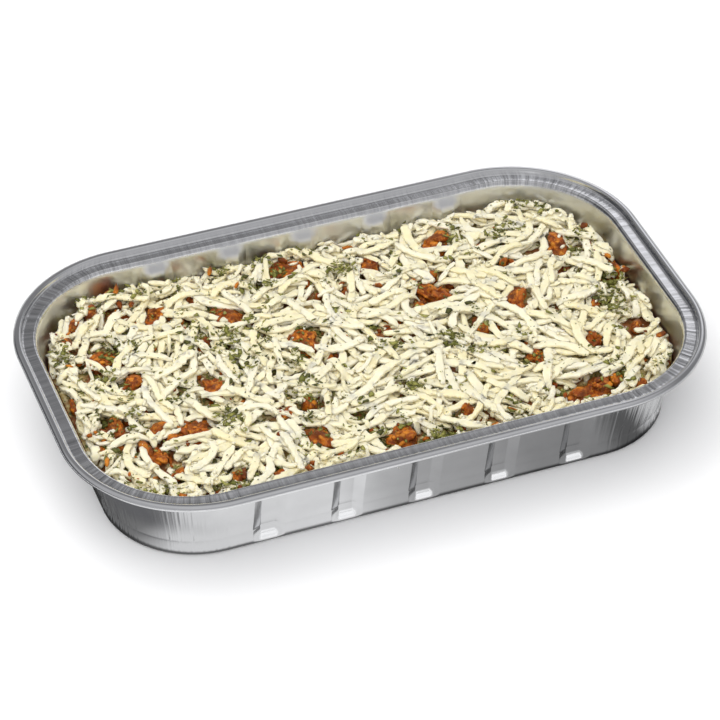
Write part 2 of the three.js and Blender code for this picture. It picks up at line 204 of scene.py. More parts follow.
def add_camera():
    """Camera axes: back points from the target to the camera, right is level, and both right and
    up are then rolled about back."""
    back = Vector((math.sin(CAMERA_TURN) * math.cos(CAMERA_RISE),
                   -math.cos(CAMERA_TURN) * math.cos(CAMERA_RISE), math.sin(CAMERA_RISE)))
    level = Vector((math.cos(CAMERA_TURN), math.sin(CAMERA_TURN), 0))
    upright = back.cross(level)
    right = level * math.cos(CAMERA_ROLL) + upright * math.sin(CAMERA_ROLL)
    up = upright * math.cos(CAMERA_ROLL) - level * math.sin(CAMERA_ROLL)
    lens = bpy.data.cameras.new("camera")
    lens.lens = CAMERA_LENS
    lens.sensor_width = CAMERA_SENSOR
    camera = bpy.data.objects.new("camera", lens)
    turn = Matrix((right, up, back)).transposed().to_4x4()
    camera.matrix_world = Matrix.Translation(CAMERA_TARGET + back * CAMERA_DISTANCE) @ turn
    bpy.context.scene.collection.objects.link(camera)
    bpy.context.scene.camera = camera
    print("camera at", tuple(round(v, 3) for v in camera.matrix_world.translation))


add_camera()

# %% [markdown]
# ## The tray's outline
# Seen from above the tray is a rounded rectangle, and every level of it is the
# same outline moved in by some inset. So each station round the outline keeps
# an anchor and an outward direction: a point is the anchor plus the radius
# less the inset along that direction. Stations lie closest at the corners,
# where the foil is wrinkled, and at the folds of the flutes, which stay sharp.

# %% Outline stations
tray_low, tray_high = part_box("tray")
TRAY_LENGTH = (tray_high.x - tray_low.x) / MM
TRAY_WIDTH = (tray_high.y - tray_low.y) / MM
RIM_TOP = tray_high.z / MM
RIM_RADIUS = 46.3
HALF_X = TRAY_LENGTH / 2 - RIM_RADIUS
HALF_Y = TRAY_WIDTH / 2 - RIM_RADIUS
CORNER_ANCHORS = np.array([(HALF_X, HALF_Y), (-HALF_X, HALF_Y), (-HALF_X, -HALF_Y), (HALF_X, -HALF_Y)])

FLUTE_COUNT = 5
FLUTE_PITCH = 27.65
FLUTE_SHIFT = 1.2
FLUTE_DEPTH = 1.7
FLUTE_HALF_MOUTH = 5.7
FLUTE_HALF_FLOOR = 2.4
FLUTE_FOOT = (1.3, 5.2)
FLUTE_HEAD = (26.5, 30.5)
FLUTE_GROWTH = 0.08
FOLD_CROWD, FOLD_REACH = 5, 0.4
CORNER_CROWD, CORNER_REACH = 1.2, 8
BEND_REACH = 6
END_START = 62


def from_flute_middle(x):
    """Distance along the side to the nearest flute's middle."""
    middles = FLUTE_SHIFT + FLUTE_PITCH * (np.arange(FLUTE_COUNT) - (FLUTE_COUNT - 1) / 2)
    return np.abs(np.asarray(x)[..., None] - middles).min(-1)


def flute_share(x):
    """1 on a flute's floor, 0 beyond its mouth, and an even slope on its flanks."""
    return share(from_flute_middle(x), FLUTE_HALF_MOUTH, FLUTE_HALF_FLOOR)


def closer_at_folds(t, start_x, end_x):
    """Shares 0 to 1 of a long side, moved so that they lie close together at the folds of the
    flutes and near the corners: the even shares are read off the running sum of a density."""
    fine = np.linspace(0, 1, 4001)
    from_flute = from_flute_middle(start_x + (end_x - start_x) * fine)
    from_fold = np.minimum(np.abs(from_flute - FLUTE_HALF_MOUTH), np.abs(from_flute - FLUTE_HALF_FLOOR))
    from_corner = abs(end_x - start_x) * np.minimum(fine, 1 - fine)
    density = 1 + FOLD_CROWD * bell(from_fold, FOLD_REACH) + CORNER_CROWD * bell(from_corner, CORNER_REACH)
    reached = np.cumsum(density) - density[0]
    return np.interp(t, reached / reached[-1], fine)


def outline_stations(corner_steps, long_steps, short_steps):
    """Stations anticlockwise from the right rear corner's start: quarter circles about four
    anchors, where the direction turns, and straights, along which the anchor slides."""
    anchors, angles, distances, bends = [], [], [], []
    travelled = 0.0
    for corner in range(4):
        start, end = CORNER_ANCHORS[corner], CORNER_ANCHORS[(corner + 1) % 4]
        side = float(np.hypot(*(end - start)))
        bent = np.arange(corner_steps) / corner_steps
        straight = np.arange(short_steps) / short_steps
        if corner % 2 == 0:
            straight = closer_at_folds(np.arange(long_steps) / long_steps, start[0], end[0])
        for length, t, turn, slide in ((RIM_RADIUS * math.pi / 2, bent, bent, 0 * bent),
                                       (side, straight, 1 + 0 * straight, straight)):
            anchors.append(start + (end - start) * slide[:, None])
            angles.append(math.pi / 2 * (corner + turn))
            distances.append(travelled + length * t)
            bends.append(bell(side * np.minimum(slide, 1 - slide), BEND_REACH))
            travelled += length
    anchor, angle = np.concatenate(anchors), np.concatenate(angles)
    out = np.stack([np.cos(angle), np.sin(angle)], -1)
    out[np.abs(out) < 1e-9] = 0
    on_long_side = np.isclose(np.abs(out[:, 1]), 1) & (np.abs(anchor[:, 0]) < HALF_X - 0.01)
    return {
        "anchor": anchor, "out": out, "distance": np.concatenate(distances), "round": travelled,
        "bend": np.concatenate(bends), "flute": flute_share(anchor[:, 0]) * on_long_side,
        "end_share": np.sign(anchor[:, 0]) * share(np.abs(anchor[:, 0]), END_START, HALF_X),
    }


def outline_points(stations, inset, z, shift=0.0, scale=1.0):
    """Points (rows, stations, 3). Each is the anchor, plus the radius less the inset along the
    outward direction, with the short sides moved out by the shift. Inset, z, shift and scale are
    single numbers, columns with one value for each row, or arrays of rows by stations."""
    inset, z, shift, scale = (np.asarray(v, float)[..., None] for v in (inset, z, shift, scale))
    flat = stations["anchor"] + (RIM_RADIUS - inset) * stations["out"]
    flat = flat + shift * stations["end_share"][:, None] * np.array([1.0, 0.0])
    flat = flat * scale
    return np.concatenate([flat, np.broadcast_to(z, flat.shape[:-1] + (1,))], -1)


tray_stations = outline_stations(corner_steps=162, long_steps=220, short_steps=24)
print("stations:", len(tray_stations["distance"]), "round:", round(tray_stations["round"], 1), "mm")

# %% [markdown]
# ## The foil tray
# The real tray is one blank of foil, drawn down by a press. Its section is a
# flat base, a small curve, a wall that leans out, a lip, a flat ledge, a slope
# and a rolled edge. The same section runs all the way round, so it is a table
# of rows, and each row says how far in and how high it lies and how much of
# the flutes, wrinkles and creases it takes.

# %% Section of the tray
SKIN = 0.5
BASE_INSET, BASE_CURVE = 14, 1.3
WALL_TOP, WALL_TOP_INSET = 31, 8.7
END_SHIFT = 1.1
FOOT_BAND_TOP, FOOT_BAND_INSET, FOOT_BAND_LEAN = 6.7, 13.5, 0.04
PANEL_FOOT_INSET = 13.33
ROLL_REACH, ROLL_RISE = 1.75, 1.08
LEDGE_START = (2.2, 4.6)
INNER_FLUTE = 0.78
INNER_WRINKLE = 0.1


def wall_inset(z):
    """The foot band stands nearly upright. Above it the panels start a little further in, and
    lean out in a straight line up to the ledge."""
    foot = FOOT_BAND_INSET - FOOT_BAND_LEAN * z
    rise = (z - FOOT_BAND_TOP) / (WALL_TOP - FOOT_BAND_TOP)
    panel = PANEL_FOOT_INSET + (WALL_TOP_INSET - PANEL_FOOT_INSET) * rise
    return foot + (panel - foot) * ramp(z, FOOT_BAND_TOP - 0.3, FOOT_BAND_TOP + 0.3)


def flute_depth(z):
    """Full depth between a ramp at the foot and a longer, softer one under the rim, and a little
    more of it towards the top."""
    foot = share(z, *FLUTE_FOOT)
    spoon = 0.7 * foot * (1.5 - 0.5 * foot) + 0.3 * ramp(foot, 0, 1)
    growth = 1 + FLUTE_GROWTH * share(z, FOOT_BAND_TOP, FLUTE_HEAD[0])
    return FLUTE_DEPTH * growth * spoon * (1 - ramp(z, *FLUTE_HEAD))


def wall_wrinkle(z):
    """Wrinkles grow from the foot, and fade again under the ledge."""
    return ramp(z, 1, 6) * (1 - 0.7 * ramp(z, 26, WALL_TOP))


def section_rows(inset, z, shift=0.0, wrinkle=0.0, crease=0.0, scale=1.0, flute=0.0):
    """One block of the section's table: a row for each inset and height."""
    return np.stack(np.broadcast_arrays(inset, z, shift, wrinkle, crease, scale, flute), -1)


def tray_section():
    """The whole section from the middle of the base's underside, up the outside, round the roll,
    over the ledge, down the inside to the middle of the floor. The tables between wall and roll
    hold pairs of an inset and a height."""
    base_edge = BASE_INSET + BASE_CURVE
    spread = np.array([0.25, 0.55, 0.8, 0.93])
    quarter = np.radians([0, 25, 50, 75])
    foot_inset = wall_inset(BASE_CURVE)
    outer_z = np.array([1.3, 1.8, 2.5, 3.3, 4.2, 5.2, 6.2, 6.5, 6.9, 7.3, 7.7, 8.4, 10, 13, 16, 19, 22,
                        24, 26, 28, 30, 31])
    inner_z = np.array([30.3, 29.4, 28.3, 26.8, 25, 23, 21, 17, 9, 7.6, 6.9, 6.5, 5, 2.4, 1.8])
    under = np.array([[8.1, 31.2], [7.2, 31.25], [5.8, 31.28], [4.4, 31.3], [3.2, 31.45]]).T
    roll = np.radians(np.linspace(-75, -300, 14))
    slope = np.array([[2.85, 33.15], [3.05, 32.85], [3.25, 32.45], [3.5, 32.12], [3.75, 31.9],
                      [4.1, 31.74]]).T
    ledge = np.array([[4.5, 31.66], [4.9, 31.65], [5.4, 31.69], [6.2, 31.766], [7.0, 31.842]]).T
    lip = np.array([[7.5, 31.93], [7.9, 31.97], [8.3, 31.88], [8.6, 31.65], [8.9, 31.2]]).T
    fold = ramp(slope[0], *LEDGE_START)
    return np.concatenate([
        section_rows(base_edge, 0, scale=spread),
        section_rows(foot_inset + (base_edge - foot_inset) * (1 - np.sin(quarter)),
                     BASE_CURVE * (1 - np.cos(quarter)), END_SHIFT * BASE_CURVE / WALL_TOP),
        section_rows(wall_inset(outer_z), outer_z, END_SHIFT * outer_z / WALL_TOP,
                     wall_wrinkle(outer_z), flute=flute_depth(outer_z)),
        section_rows(*under, END_SHIFT * ramp(under[0], *LEDGE_START), crease=0.6),
        section_rows(ROLL_REACH + ROLL_REACH * np.cos(roll), RIM_TOP - ROLL_RISE + ROLL_RISE * np.sin(roll)),
        section_rows(*slope, END_SHIFT * fold, crease=0.5 * fold),
        section_rows(*ledge, END_SHIFT, crease=1.0),
        section_rows(*lip, END_SHIFT, crease=0.8),
        section_rows(wall_inset(inner_z) + SKIN, inner_z, END_SHIFT * inner_z / WALL_TOP,
                     INNER_WRINKLE * wall_wrinkle(inner_z), flute=INNER_FLUTE * flute_depth(inner_z)),
        section_rows(base_edge + SKIN, SKIN, scale=spread[::-1]),
    ])


tray_rows = tray_section()
INNER_ROWS = 19
print("rows of the section:", len(tray_rows), "of them inside:", INNER_ROWS)

# %% [markdown]
# ## Wrinkles and creases
# The drawing leaves wrinkles where spare foil gathers, at the corners, and
# they have to be real relief, because a mirror-like surface shows every slope.
# A wrinkle is a sum of sine waves that run round the tray and wander as they
# climb the wall.

# %% Wrinkles and creases
WRINKLE_HEIGHT, WRINKLE_LENGTHS = 0.22, (1.1, 1.4, 1.9, 2.9)
CREASE_HEIGHT, CREASE_LENGTHS = 0.024, (1.9, 2.6, 3.9)
DENT_HEIGHT, DENT_SIZE = 0.07, 24
SWELL_SIZE = 16


def wandering_waves(distance, along, lengths, seed):
    """A sum of sine waves round the outline, one for each wave length, whose phase drifts with the
    height so that no two wrinkles run alike."""
    draw = np.random.default_rng(seed)
    total = 0
    for length in lengths:
        phase, drift, pace = draw.uniform(0, 6.28), draw.uniform(0.4, 1.3), draw.uniform(5, 11)
        swing = drift * np.sin(along / pace + phase * 3)
        total = total + np.sin(2 * np.pi * distance / length + phase + swing)
    return total / math.sqrt(len(lengths))


def tray_sections():
    """Rows of the section at every station, with the flutes pressed in, the wrinkles on the wall
    across the surface and the creases of the ledge up and down."""
    inset, z, shift, wrinkle, crease, scale, flute = (column[:, None] for column in tray_rows.T)
    around, bend = tray_stations["distance"], tray_stations["bend"]
    swell = 0.5 + 0.5 * soft_noise(around, z * 1.5, 0, SWELL_SIZE, 5)
    waves = wandering_waves(around, z, WRINKLE_LENGTHS, 11)
    dents = soft_noise(around, z * 2, 0, DENT_SIZE, 8)
    push = wrinkle * (WRINKLE_HEIGHT * bend * swell * waves + DENT_HEIGHT * dents)
    folds = wandering_waves(around, inset, CREASE_LENGTHS, 21)
    lift = crease * CREASE_HEIGHT * (0.2 + bend * (0.3 + 0.6 * swell)) * folds
    return outline_points(tray_stations, inset + flute * tray_stations["flute"] - push,
                          np.minimum(z + lift, RIM_TOP), shift, scale)


tray_shape = tray_sections()
print("height of the tray:", round(float(tray_shape[..., 2].max()), 2), "mm")

# %% [markdown]
# ## Finishes from nodes
# Every finish is a small group of procedural nodes on Object coordinates, so
# nothing has to be unwrapped. Sizes are given in millimetres and turned into
# the Noise node's scale, which counts bumps in a metre. A function for each
# finish returns a table of the shader's sockets: a plain value, or the output
# of another node.

# %% Material helpers
def set_sockets(node, sockets):
    """Each named socket gets a constant value, or is fed by another node's output."""
    for key, value in sockets.items():
        socket = node.inputs[key]
        if isinstance(value, bpy.types.NodeSocket):
            node.id_data.links.new(value, socket)
        else:
            socket.default_value = (*value, 1) if socket.type == "RGBA" else value


def new_finish(name, finish_sockets):
    """A material with one Principled shader, whose sockets are worked out by a function."""
    finish = bpy.data.materials.new(name)
    finish.use_nodes = True
    tree = finish.node_tree
    set_sockets(tree.nodes["Principled BSDF"], finish_sockets(tree))
    print("finish", name, "with", len(tree.nodes), "nodes")
    return finish


def add_node(tree, kind, sockets, output, **settings):
    """A node with its settings and sockets. The next node is fed from the named output."""
    node = tree.nodes.new("ShaderNode" + kind)
    for name, value in settings.items():
        setattr(node, name, value)
    set_sockets(node, sockets)
    return node.outputs[output]


def noise_node(tree, size_mm, detail=3.0, stretch=(1, 1, 1), roughness=0.55, place=None):
    """Noise with bumps of about size_mm, on Object coordinates or another place, stretched along
    an axis by a Mapping."""
    if place is None:
        place = add_node(tree, "TexCoord", {}, "Object")
    mapped = add_node(tree, "Mapping", {"Vector": place, "Scale": stretch}, "Vector")
    sockets = {"Vector": mapped, "Scale": 1000 / size_mm, "Detail": detail, "Roughness": roughness}
    return add_node(tree, "TexNoise", sockets, "Fac")


def tone_node(tree, name):
    """A value kept on the mesh's points."""
    return add_node(tree, "Attribute", {}, "Fac", attribute_name=name)


def grey(value, blue=0.0):
    """A grey with a little more blue."""
    return value, value, value + blue


def colour_ramp(tree, value, stops):
    """A colour for each value: stops are (position, (r, g, b))."""
    colour = add_node(tree, "ValToRGB", {"Fac": value}, "Color")
    elements = colour.node.color_ramp.elements
    while len(elements) < len(stops):
        elements.new(0.5)
    for element, (position, stop_colour) in zip(elements, stops):
        element.position = position
        element.color = (*stop_colour, 1)
    return colour


def blended(tree, amount, first, second, blend="MIX"):
    """Mix of two colours by an amount. A Mix node takes the amount at input 0 and colours at
    inputs 6 and 7, and gives the mixed colour at output 2."""
    return add_node(tree, "Mix", {0: amount, 6: first, 7: second}, 2, data_type="RGBA", blend_type=blend)


def ranged(tree, value, low, high, from_low=0.0, from_high=1.0):
    """The value moved from one range to another, and held at its ends."""
    sockets = {"Value": value, "From Min": from_low, "From Max": from_high, "To Min": low, "To Max": high}
    return add_node(tree, "MapRange", sockets, "Result")


def mask(tree, value, nothing, full):
    """0 where the value is `nothing`, 1 where it is `full`, and even between."""
    return ranged(tree, value, 0, 1, nothing, full)


def product(tree, first, *others):
    """All the values multiplied together."""
    for other in others:
        first = add_node(tree, "Math", {0: first, 1: other}, "Value", operation="MULTIPLY")
    return first


def bump_node(tree, height, height_mm, **below):
    """A normal with bumps of height_mm where the height is 1. Normal names the bump below it."""
    sockets = {"Height": height, "Distance": height_mm * MM, "Strength": 1.0, **below}
    return add_node(tree, "Bump", sockets, "Normal")


# %% [markdown]
# ## Foil
# Rolled aluminium is bright but not a mirror: fine rolling lines spread the
# reflections. Clean metal needs little colour of its own. Its look comes from
# the roughness, which varies a little, and from very low bumps. The ledge is
# creased across by the drawing, so the tray carries its own coordinates there:
# the way round the outline, laid on a circle so that it has no seam. There the
# creases are also painted into the colour as streaks of painted light and shade.

# %% Foil finish
GRAIN_HEIGHT = 0.004
STREAK_HEIGHT = 0.09
STREAKS_ON_SIDES = 0.45
CREASE_COLUMN = 4


def foil_sockets(tree):
    """Bright metal, duller inside, with fine grain. On the ledge lie streaks, as relief and as
    painted light and shade that make the colour lighter and darker."""
    handling = noise_node(tree, 14, detail=4)
    grain = noise_node(tree, 0.5, detail=2, stretch=(0.25, 0.25, 1))
    bright = colour_ramp(tree, handling, [(0.3, (0.8, 0.805, 0.82)), (0.7, (0.86, 0.865, 0.88))])
    polish = ranged(tree, handling, 0.11, 0.17, 0.3, 0.7)
    dull = ranged(tree, tone_node(tree, "inside"), 1.0, 2.4)
    circle_place = {"X": tone_node(tree, "round_x"), "Y": tone_node(tree, "round_y")}
    around = add_node(tree, "CombineXYZ", circle_place, "Vector")
    streaks = noise_node(tree, 2.0, detail=5, roughness=0.7, place=around)
    creased = tone_node(tree, "creased")
    # painted light and shade: crease streaks make the ledge's colour lighter and darker
    painted_crease_shading = ranged(tree, streaks, 0.6, 1.17, 0.36, 0.6)
    return {
        "Metallic": 1.0,
        "Base Color": blended(tree, creased, bright, painted_crease_shading, "MULTIPLY"),
        "Roughness": product(tree, polish, dull),
        "Normal": bump_node(tree, product(tree, streaks, creased), STREAK_HEIGHT,
                            Normal=bump_node(tree, grain, GRAIN_HEIGHT)),
    }


turn_round = 2 * np.pi * tray_stations["distance"] / tray_stations["round"]
circle = tray_stations["round"] / (2 * np.pi) * MM
foil_tones = {
    "inside": (np.arange(len(tray_rows)) >= len(tray_rows) - INNER_ROWS)[:, None],
    "round_x": circle * np.cos(turn_round),
    "round_y": circle * np.sin(turn_round),
    "creased": tray_rows[:, CREASE_COLUMN, None] * (
        STREAKS_ON_SIDES + (1 - STREAKS_ON_SIDES) * tray_stations["bend"]),
}
all_points = np.ones((1, *tray_shape.shape[:2]))
foil = new_finish("foil", foil_sockets)
foil_tray = new_piece("foil_tray", *closed_tubes(tray_shape[None]), foil,
                      **{name: with_poles(all_points * tone) for name, tone in foil_tones.items()})

# %% [markdown]
# ## Meat sauce under the cheese
# Under the cheese lies a level bed of meat in sauce. It shows only in a narrow
# strip along the wall and through gaps, so its top is a lumpy field, and its
# side just follows the tray's inside.

# %% Sauce bed
filling_low, filling_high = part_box("filling")
FILLING_TOP = filling_high.z / MM
FILLING_BOTTOM = filling_low.z / MM
GAP = 0.3
SAUCE_SINK = 0.75
SAUCE_STOPS = [(0.32, (0.1, 0.02, 0.006)), (0.5, (0.24, 0.05, 0.012)), (0.68, (0.42, 0.12, 0.03))]
bed_stations = outline_stations(corner_steps=48, long_steps=72, short_steps=24)


def sauce_sections():
    """Side rows follow the tray's inside with a small gap, and top rows shrink the outline towards
    the middle, raised and lowered by noise."""
    clear = SKIN + GAP
    edge = BASE_INSET + BASE_CURVE + clear
    side_z = np.array([BASE_CURVE + clear, 3.2, 5.4, 7.6, 12, 16, FILLING_TOP - 1.4])[:, None]
    floor = outline_points(bed_stations, edge, FILLING_BOTTOM, scale=[[0.4], [0.8], [1.0]])
    flutes = flute_depth(side_z) * bed_stations["flute"]
    side = outline_points(bed_stations, wall_inset(side_z) + clear + flutes, side_z,
                          END_SHIFT * side_z / WALL_TOP)
    rim_inset = wall_inset(FILLING_TOP) + clear + FLUTE_DEPTH * bed_stations["flute"] + GAP
    scale = np.array([1, 0.985, 0.96, 0.93, 0.89, 0.84, 0.77, 0.68, 0.56, 0.42, 0.26, 0.1])[:, None]
    top = outline_points(bed_stations, rim_inset, FILLING_TOP, END_SHIFT * FILLING_TOP / WALL_TOP, scale)
    x, y, _ = axes_of(top)
    top[..., 2] += 0.5 * soft_noise(x, y, 0, 5, 31) + 0.3 * soft_noise(x, y, 0, 2.6, 32) - SAUCE_SINK
    top[0, :, 2] = FILLING_TOP - 0.9
    return np.concatenate([floor, side, top])


def sauce_sockets(tree):
    """Dark red-brown, glossy, with paler meat in it."""
    grain = noise_node(tree, 3.5, detail=5)
    return {"Base Color": colour_ramp(tree, grain, SAUCE_STOPS), "Roughness": 0.22,
            "Coat Weight": 0.4, "Coat Roughness": 0.1, "Normal": bump_node(tree, grain, 0.5)}


sauce = new_finish("sauce", sauce_sockets)
sauce_bed = new_piece("sauce_bed", *closed_tubes(sauce_sections()[None]), sauce)

# %% [markdown]
# ## Lumps of meat
# Each lump is a clump of coarse mince: an uneven ball made of small knobs. A
# ball's surface is a grid of two angles. To get the knobs, every point looks
# for the nearest and second nearest of some seeds strewn on the ball. Where
# the two are equally far lies a crevice, so their difference is the relief,
# and it is kept as a tone for the colour too.

# %% Shape of a lump
LUMP_WAVE, LUMP_WAVE_SIZE = 0.5, 5.5
LUMP_RIPPLE, LUMP_RIPPLE_SIZE = 0.26, 2.4
LUMP_RADIUS = (0.45, 0.88, 1.2)
LUMP_DEPTH = 12
LUMP_FLAT = -0.8
LUMP_STRETCH = 1.12


def knobbly_lump(place, bottom, top, rows, columns, knobs, draw):
    """A ball of (rows, columns) points, stretched to the lump's length and width, with the tones
    relief and knob. The radius has long waves, ripples and knobs, and the underside is flat."""
    x, y, length, width, turn = place
    polar = np.linspace(0.06, np.pi - 0.06, rows)[:, None]
    round_angle = np.linspace(0, 2 * np.pi, columns, endpoint=False)[None]
    unit = np.stack([np.sin(polar) * np.cos(round_angle), np.sin(polar) * np.sin(round_angle),
                     np.cos(polar) * np.ones_like(round_angle)], -1)
    seeds = draw.normal(size=(knobs, 3))
    seeds /= np.linalg.norm(seeds, axis=1, keepdims=True)
    apart = np.linalg.norm(unit[:, :, None] - seeds, axis=-1)
    nearest = np.sort(apart, axis=-1)
    knob = draw.uniform(0, 1, knobs)[apart.argmin(-1)]
    spacing = 2.2 / math.sqrt(knobs)
    relief = np.clip((nearest[..., 1] - nearest[..., 0]) / spacing, 0, 1) ** 0.6
    solid = axes_of(unit * np.array([length, width, LUMP_DEPTH]) / 2)
    wave = soft_noise(*solid, LUMP_WAVE_SIZE, draw.integers(1000))
    ripple = soft_noise(*solid, LUMP_RIPPLE_SIZE, draw.integers(1000))
    least, middle, most = LUMP_RADIUS
    radius = middle + LUMP_WAVE * wave + LUMP_RIPPLE * ripple + 0.06 * (relief - 0.6) + 0.05 * (knob - 0.5)
    ball = unit * np.clip(radius, least, most)[..., None]
    ball[..., 2] = np.maximum(ball[..., 2], LUMP_FLAT)
    ball *= np.array([length / 2, width / 2, (top - bottom) / 2 * LUMP_STRETCH])
    ball_x, ball_y = turned(ball[..., 0], ball[..., 1], math.radians(turn))
    ball_z = np.minimum(ball[..., 2] + (bottom - ball[..., 2].min()), top + 0.25)
    shape = np.stack([ball_x + x, ball_y + y, ball_z], -1)
    return shape[::-1], relief[::-1], knob[::-1]


# %% [markdown]
# The meat's colour goes by the tones: each knob has its own brown, and the
# crevices between them get a darker, redder colour as painted shade. Pale fat
# spots are partly a painted highlight. Twenty lumps stand at chosen places, and
# each is as high as the imported model's own.

# %% Lumps of meat
LUMP_PLACES = [
    # x, y, length, width, turn in degrees
    (66, -49, 19, 14, 10), (-3, -50, 16, 11, 80), (-10, 50, 16, 11, 12), (-17, 10, 16, 11, 62),
    (-37, 31, 14, 10, 118), (-54, -2, 12, 11, 68), (46, 45, 14, 10, 30), (35, 18, 17, 9, 126),
    (87, 30, 13, 10, 86), (61, 5, 15, 9, 66), (-85, 24, 14, 9, 27), (-92, -12, 15, 8, 88),
    (-67, -22, 13, 10, 8), (-62, 40, 14, 8, 70), (-82, -30, 10, 8, 96), (55, -26, 10, 8, 20),
    (-80, 9, 9, 8, 60), (-30, -40, 12, 8, 118), (19, 40, 10, 8, 85), (77, -24, 9, 8, 57),
]
KNOB_STOPS = [(0.0, (0.13, 0.022, 0.002)), (0.4, (0.31, 0.064, 0.004)), (0.75, (0.48, 0.13, 0.007)),
              (1.0, (0.64, 0.23, 0.02))]
# Pale fat spots, partly a painted highlight, browned patches, and the crevices' painted shade.
FAT_AND_HIGHLIGHT, BROWNED, PAINTED_CREVICE_SHADE = (0.72, 0.29, 0.045), (0.12, 0.03, 0.006), (0.12, 0.02, 0.004)


def meat_sockets(tree):
    """Orange-brown knobs, wet with sauce, with painted shade darkening the crevices and pale fat spots that
    are partly a painted highlight.
    """
    knobs = colour_ramp(tree, tone_node(tree, "knob"), KNOB_STOPS)
    fat_and_highlight_noise = noise_node(tree, 0.9, detail=4)
    fat_and_highlight_spots = blended(tree, ranged(tree, fat_and_highlight_noise, 0, 0.7, 0.5, 0.7), knobs, FAT_AND_HIGHLIGHT)
    browning = ranged(tree, noise_node(tree, 4.2, detail=4), 0, 0.92, 0.47, 0.64)
    browned = blended(tree, browning, fat_and_highlight_spots, BROWNED)
    depth = ranged(tree, tone_node(tree, "relief"), 0.4, 1.0, 0.1, 0.6)
    return {
        "Base Color": blended(tree, depth, PAINTED_CREVICE_SHADE, browned), "Specular IOR Level": 0.25,
        "Roughness": ranged(tree, fat_and_highlight_noise, 0.28, 0.5, 0.3, 0.7), "Normal": bump_node(tree, fat_and_highlight_noise, 0.5),
        "Coat Weight": 0.14, "Coat Roughness": 0.12, "Subsurface Weight": 0.12,
        "Subsurface Radius": (0.0012, 0.0005, 0.0003), "Subsurface Scale": 1.0,
    }


def add_mince(name, lumps):
    """One piece from some lumps that have equally many points."""
    shapes, reliefs, knobs = (np.stack(column) for column in zip(*lumps))
    return new_piece(name, *closed_tubes(shapes), meat, relief=with_poles(reliefs), knob=with_poles(knobs))


meat = new_finish("meat", meat_sockets)
lump_draw = np.random.default_rng(41)
lump_pieces, lump_shapes = [], []
for number, place in enumerate(LUMP_PLACES, start=1):
    low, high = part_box(f"meat_lump_{number:02d}")
    lump = knobbly_lump(place, low.z / MM, high.z / MM, 32, 52, 150, lump_draw)
    lump_pieces.append(add_mince(f"meat_lump_{number:02d}_mince", [lump]))
    lump_shapes.append(lump[0])

# %% [markdown]
# ## A map of the heap
# A real heap is made by dropping shreds one by one, and each comes to rest on
# what is already there. A physics simulation of two thousand soft strips would
# take hours. Instead a grid of half-millimetre cells keeps the height of the
# heap so far. A strip looks up the heights under it, lies on them with a
# little stiffness, and then raises the map by its own thickness.

# %% Height map
CELL = 0.5
MAP_HALF_X, MAP_HALF_Y = 106, 62
OUTSIDE = 60
HEAP_EDGE, HEAP_CROWN = 23.3, 1.3
HEAP_LIMIT = 27.9
BED_DROP = 2.5
BED_FOOT = 21.0
BRIM = 24.0


def heap_core(x, y):
    """Height of the bare heap: an edge level, a low crown and two gentle swells."""
    u, v = x / (TRAY_LENGTH / 2), y / (TRAY_WIDTH / 2)
    crown = HEAP_CROWN * (1 - u * u) * (1 - v * v)
    return HEAP_EDGE + crown + 0.35 * np.sin(x / 13 + 0.6) * np.cos(y / 11) + 0.2 * np.sin(x / 6 - y / 8)


def wall_room(x, y):
    """Distance to the tray's inside at the heap's brim: positive inside. In a corner it is the
    radius less the distance to the corner's anchor, elsewhere the distance to the straight wall."""
    over_x = np.abs(x) - (HALF_X + END_SHIFT * BRIM / WALL_TOP)
    over_y = np.abs(y) - HALF_Y
    radius = RIM_RADIUS - (wall_inset(BRIM) + SKIN)
    corner = radius - np.hypot(np.maximum(over_x, 0), np.maximum(over_y, 0))
    return corner - FLUTE_DEPTH * flute_share(x) * (over_y > 0)


def bed_height(x, y):
    """Top of the scene's own core, under the loose shreds: the heap's core less a drop, with
    relief of the size of crumbs."""
    relief = 0.35 * soft_noise(x, y, 0, 2.2, 51) + 0.25 * soft_noise(x, y, 0, 4.5, 52)
    level = heap_core(x, y) - BED_DROP + relief
    return BED_FOOT + (level - BED_FOOT) * ramp(wall_room(x, y), 0.9, 3.2)


def lump_reach(x, y, place, margin=0.0):
    """Distance from a lump's middle, 1 on its outline grown by a margin."""
    lump_x, lump_y, length, width, turn = place
    along, across = turned(x - lump_x, y - lump_y, -math.radians(turn))
    return np.hypot(along / (length / 2 + margin), across / (width / 2 + margin))


cell_x = np.arange(CELL / 2, 2 * MAP_HALF_X, CELL) - MAP_HALF_X
cell_y = np.arange(CELL / 2, 2 * MAP_HALF_Y, CELL) - MAP_HALF_Y
map_x, map_y = np.meshgrid(cell_x, cell_y, indexing="ij")
in_tray = wall_room(map_x, map_y) > 0
height_map = np.where(in_tray, bed_height(map_x, map_y), OUTSIDE)
bed_levels = height_map[in_tray]
print("bed from", round(float(bed_levels.min()), 2), "to", round(float(bed_levels.max()), 2), "mm")


def map_cells(x, y):
    """Grid numbers of the cells that hold the points, kept inside the map."""
    ix = np.clip(((x + MAP_HALF_X) / CELL).astype(int), 0, height_map.shape[0] - 1)
    iy = np.clip(((y + MAP_HALF_Y) / CELL).astype(int), 0, height_map.shape[1] - 1)
    return ix, iy


def stamp(x, y, z):
    """Raises the map to z at the points."""
    np.maximum.at(height_map, map_cells(x, y), z)


for shape in lump_shapes:
    stamp(*axes_of(shape))

# %% [markdown]
# ## Smaller bits of meat
# Between the lumps the mince breaks out of the cheese in bits as large as a
# pea or smaller. They are the same knobbly balls with fewer points, joined in
# one piece, some at chosen places and the rest strewn at the bottom of gaps.

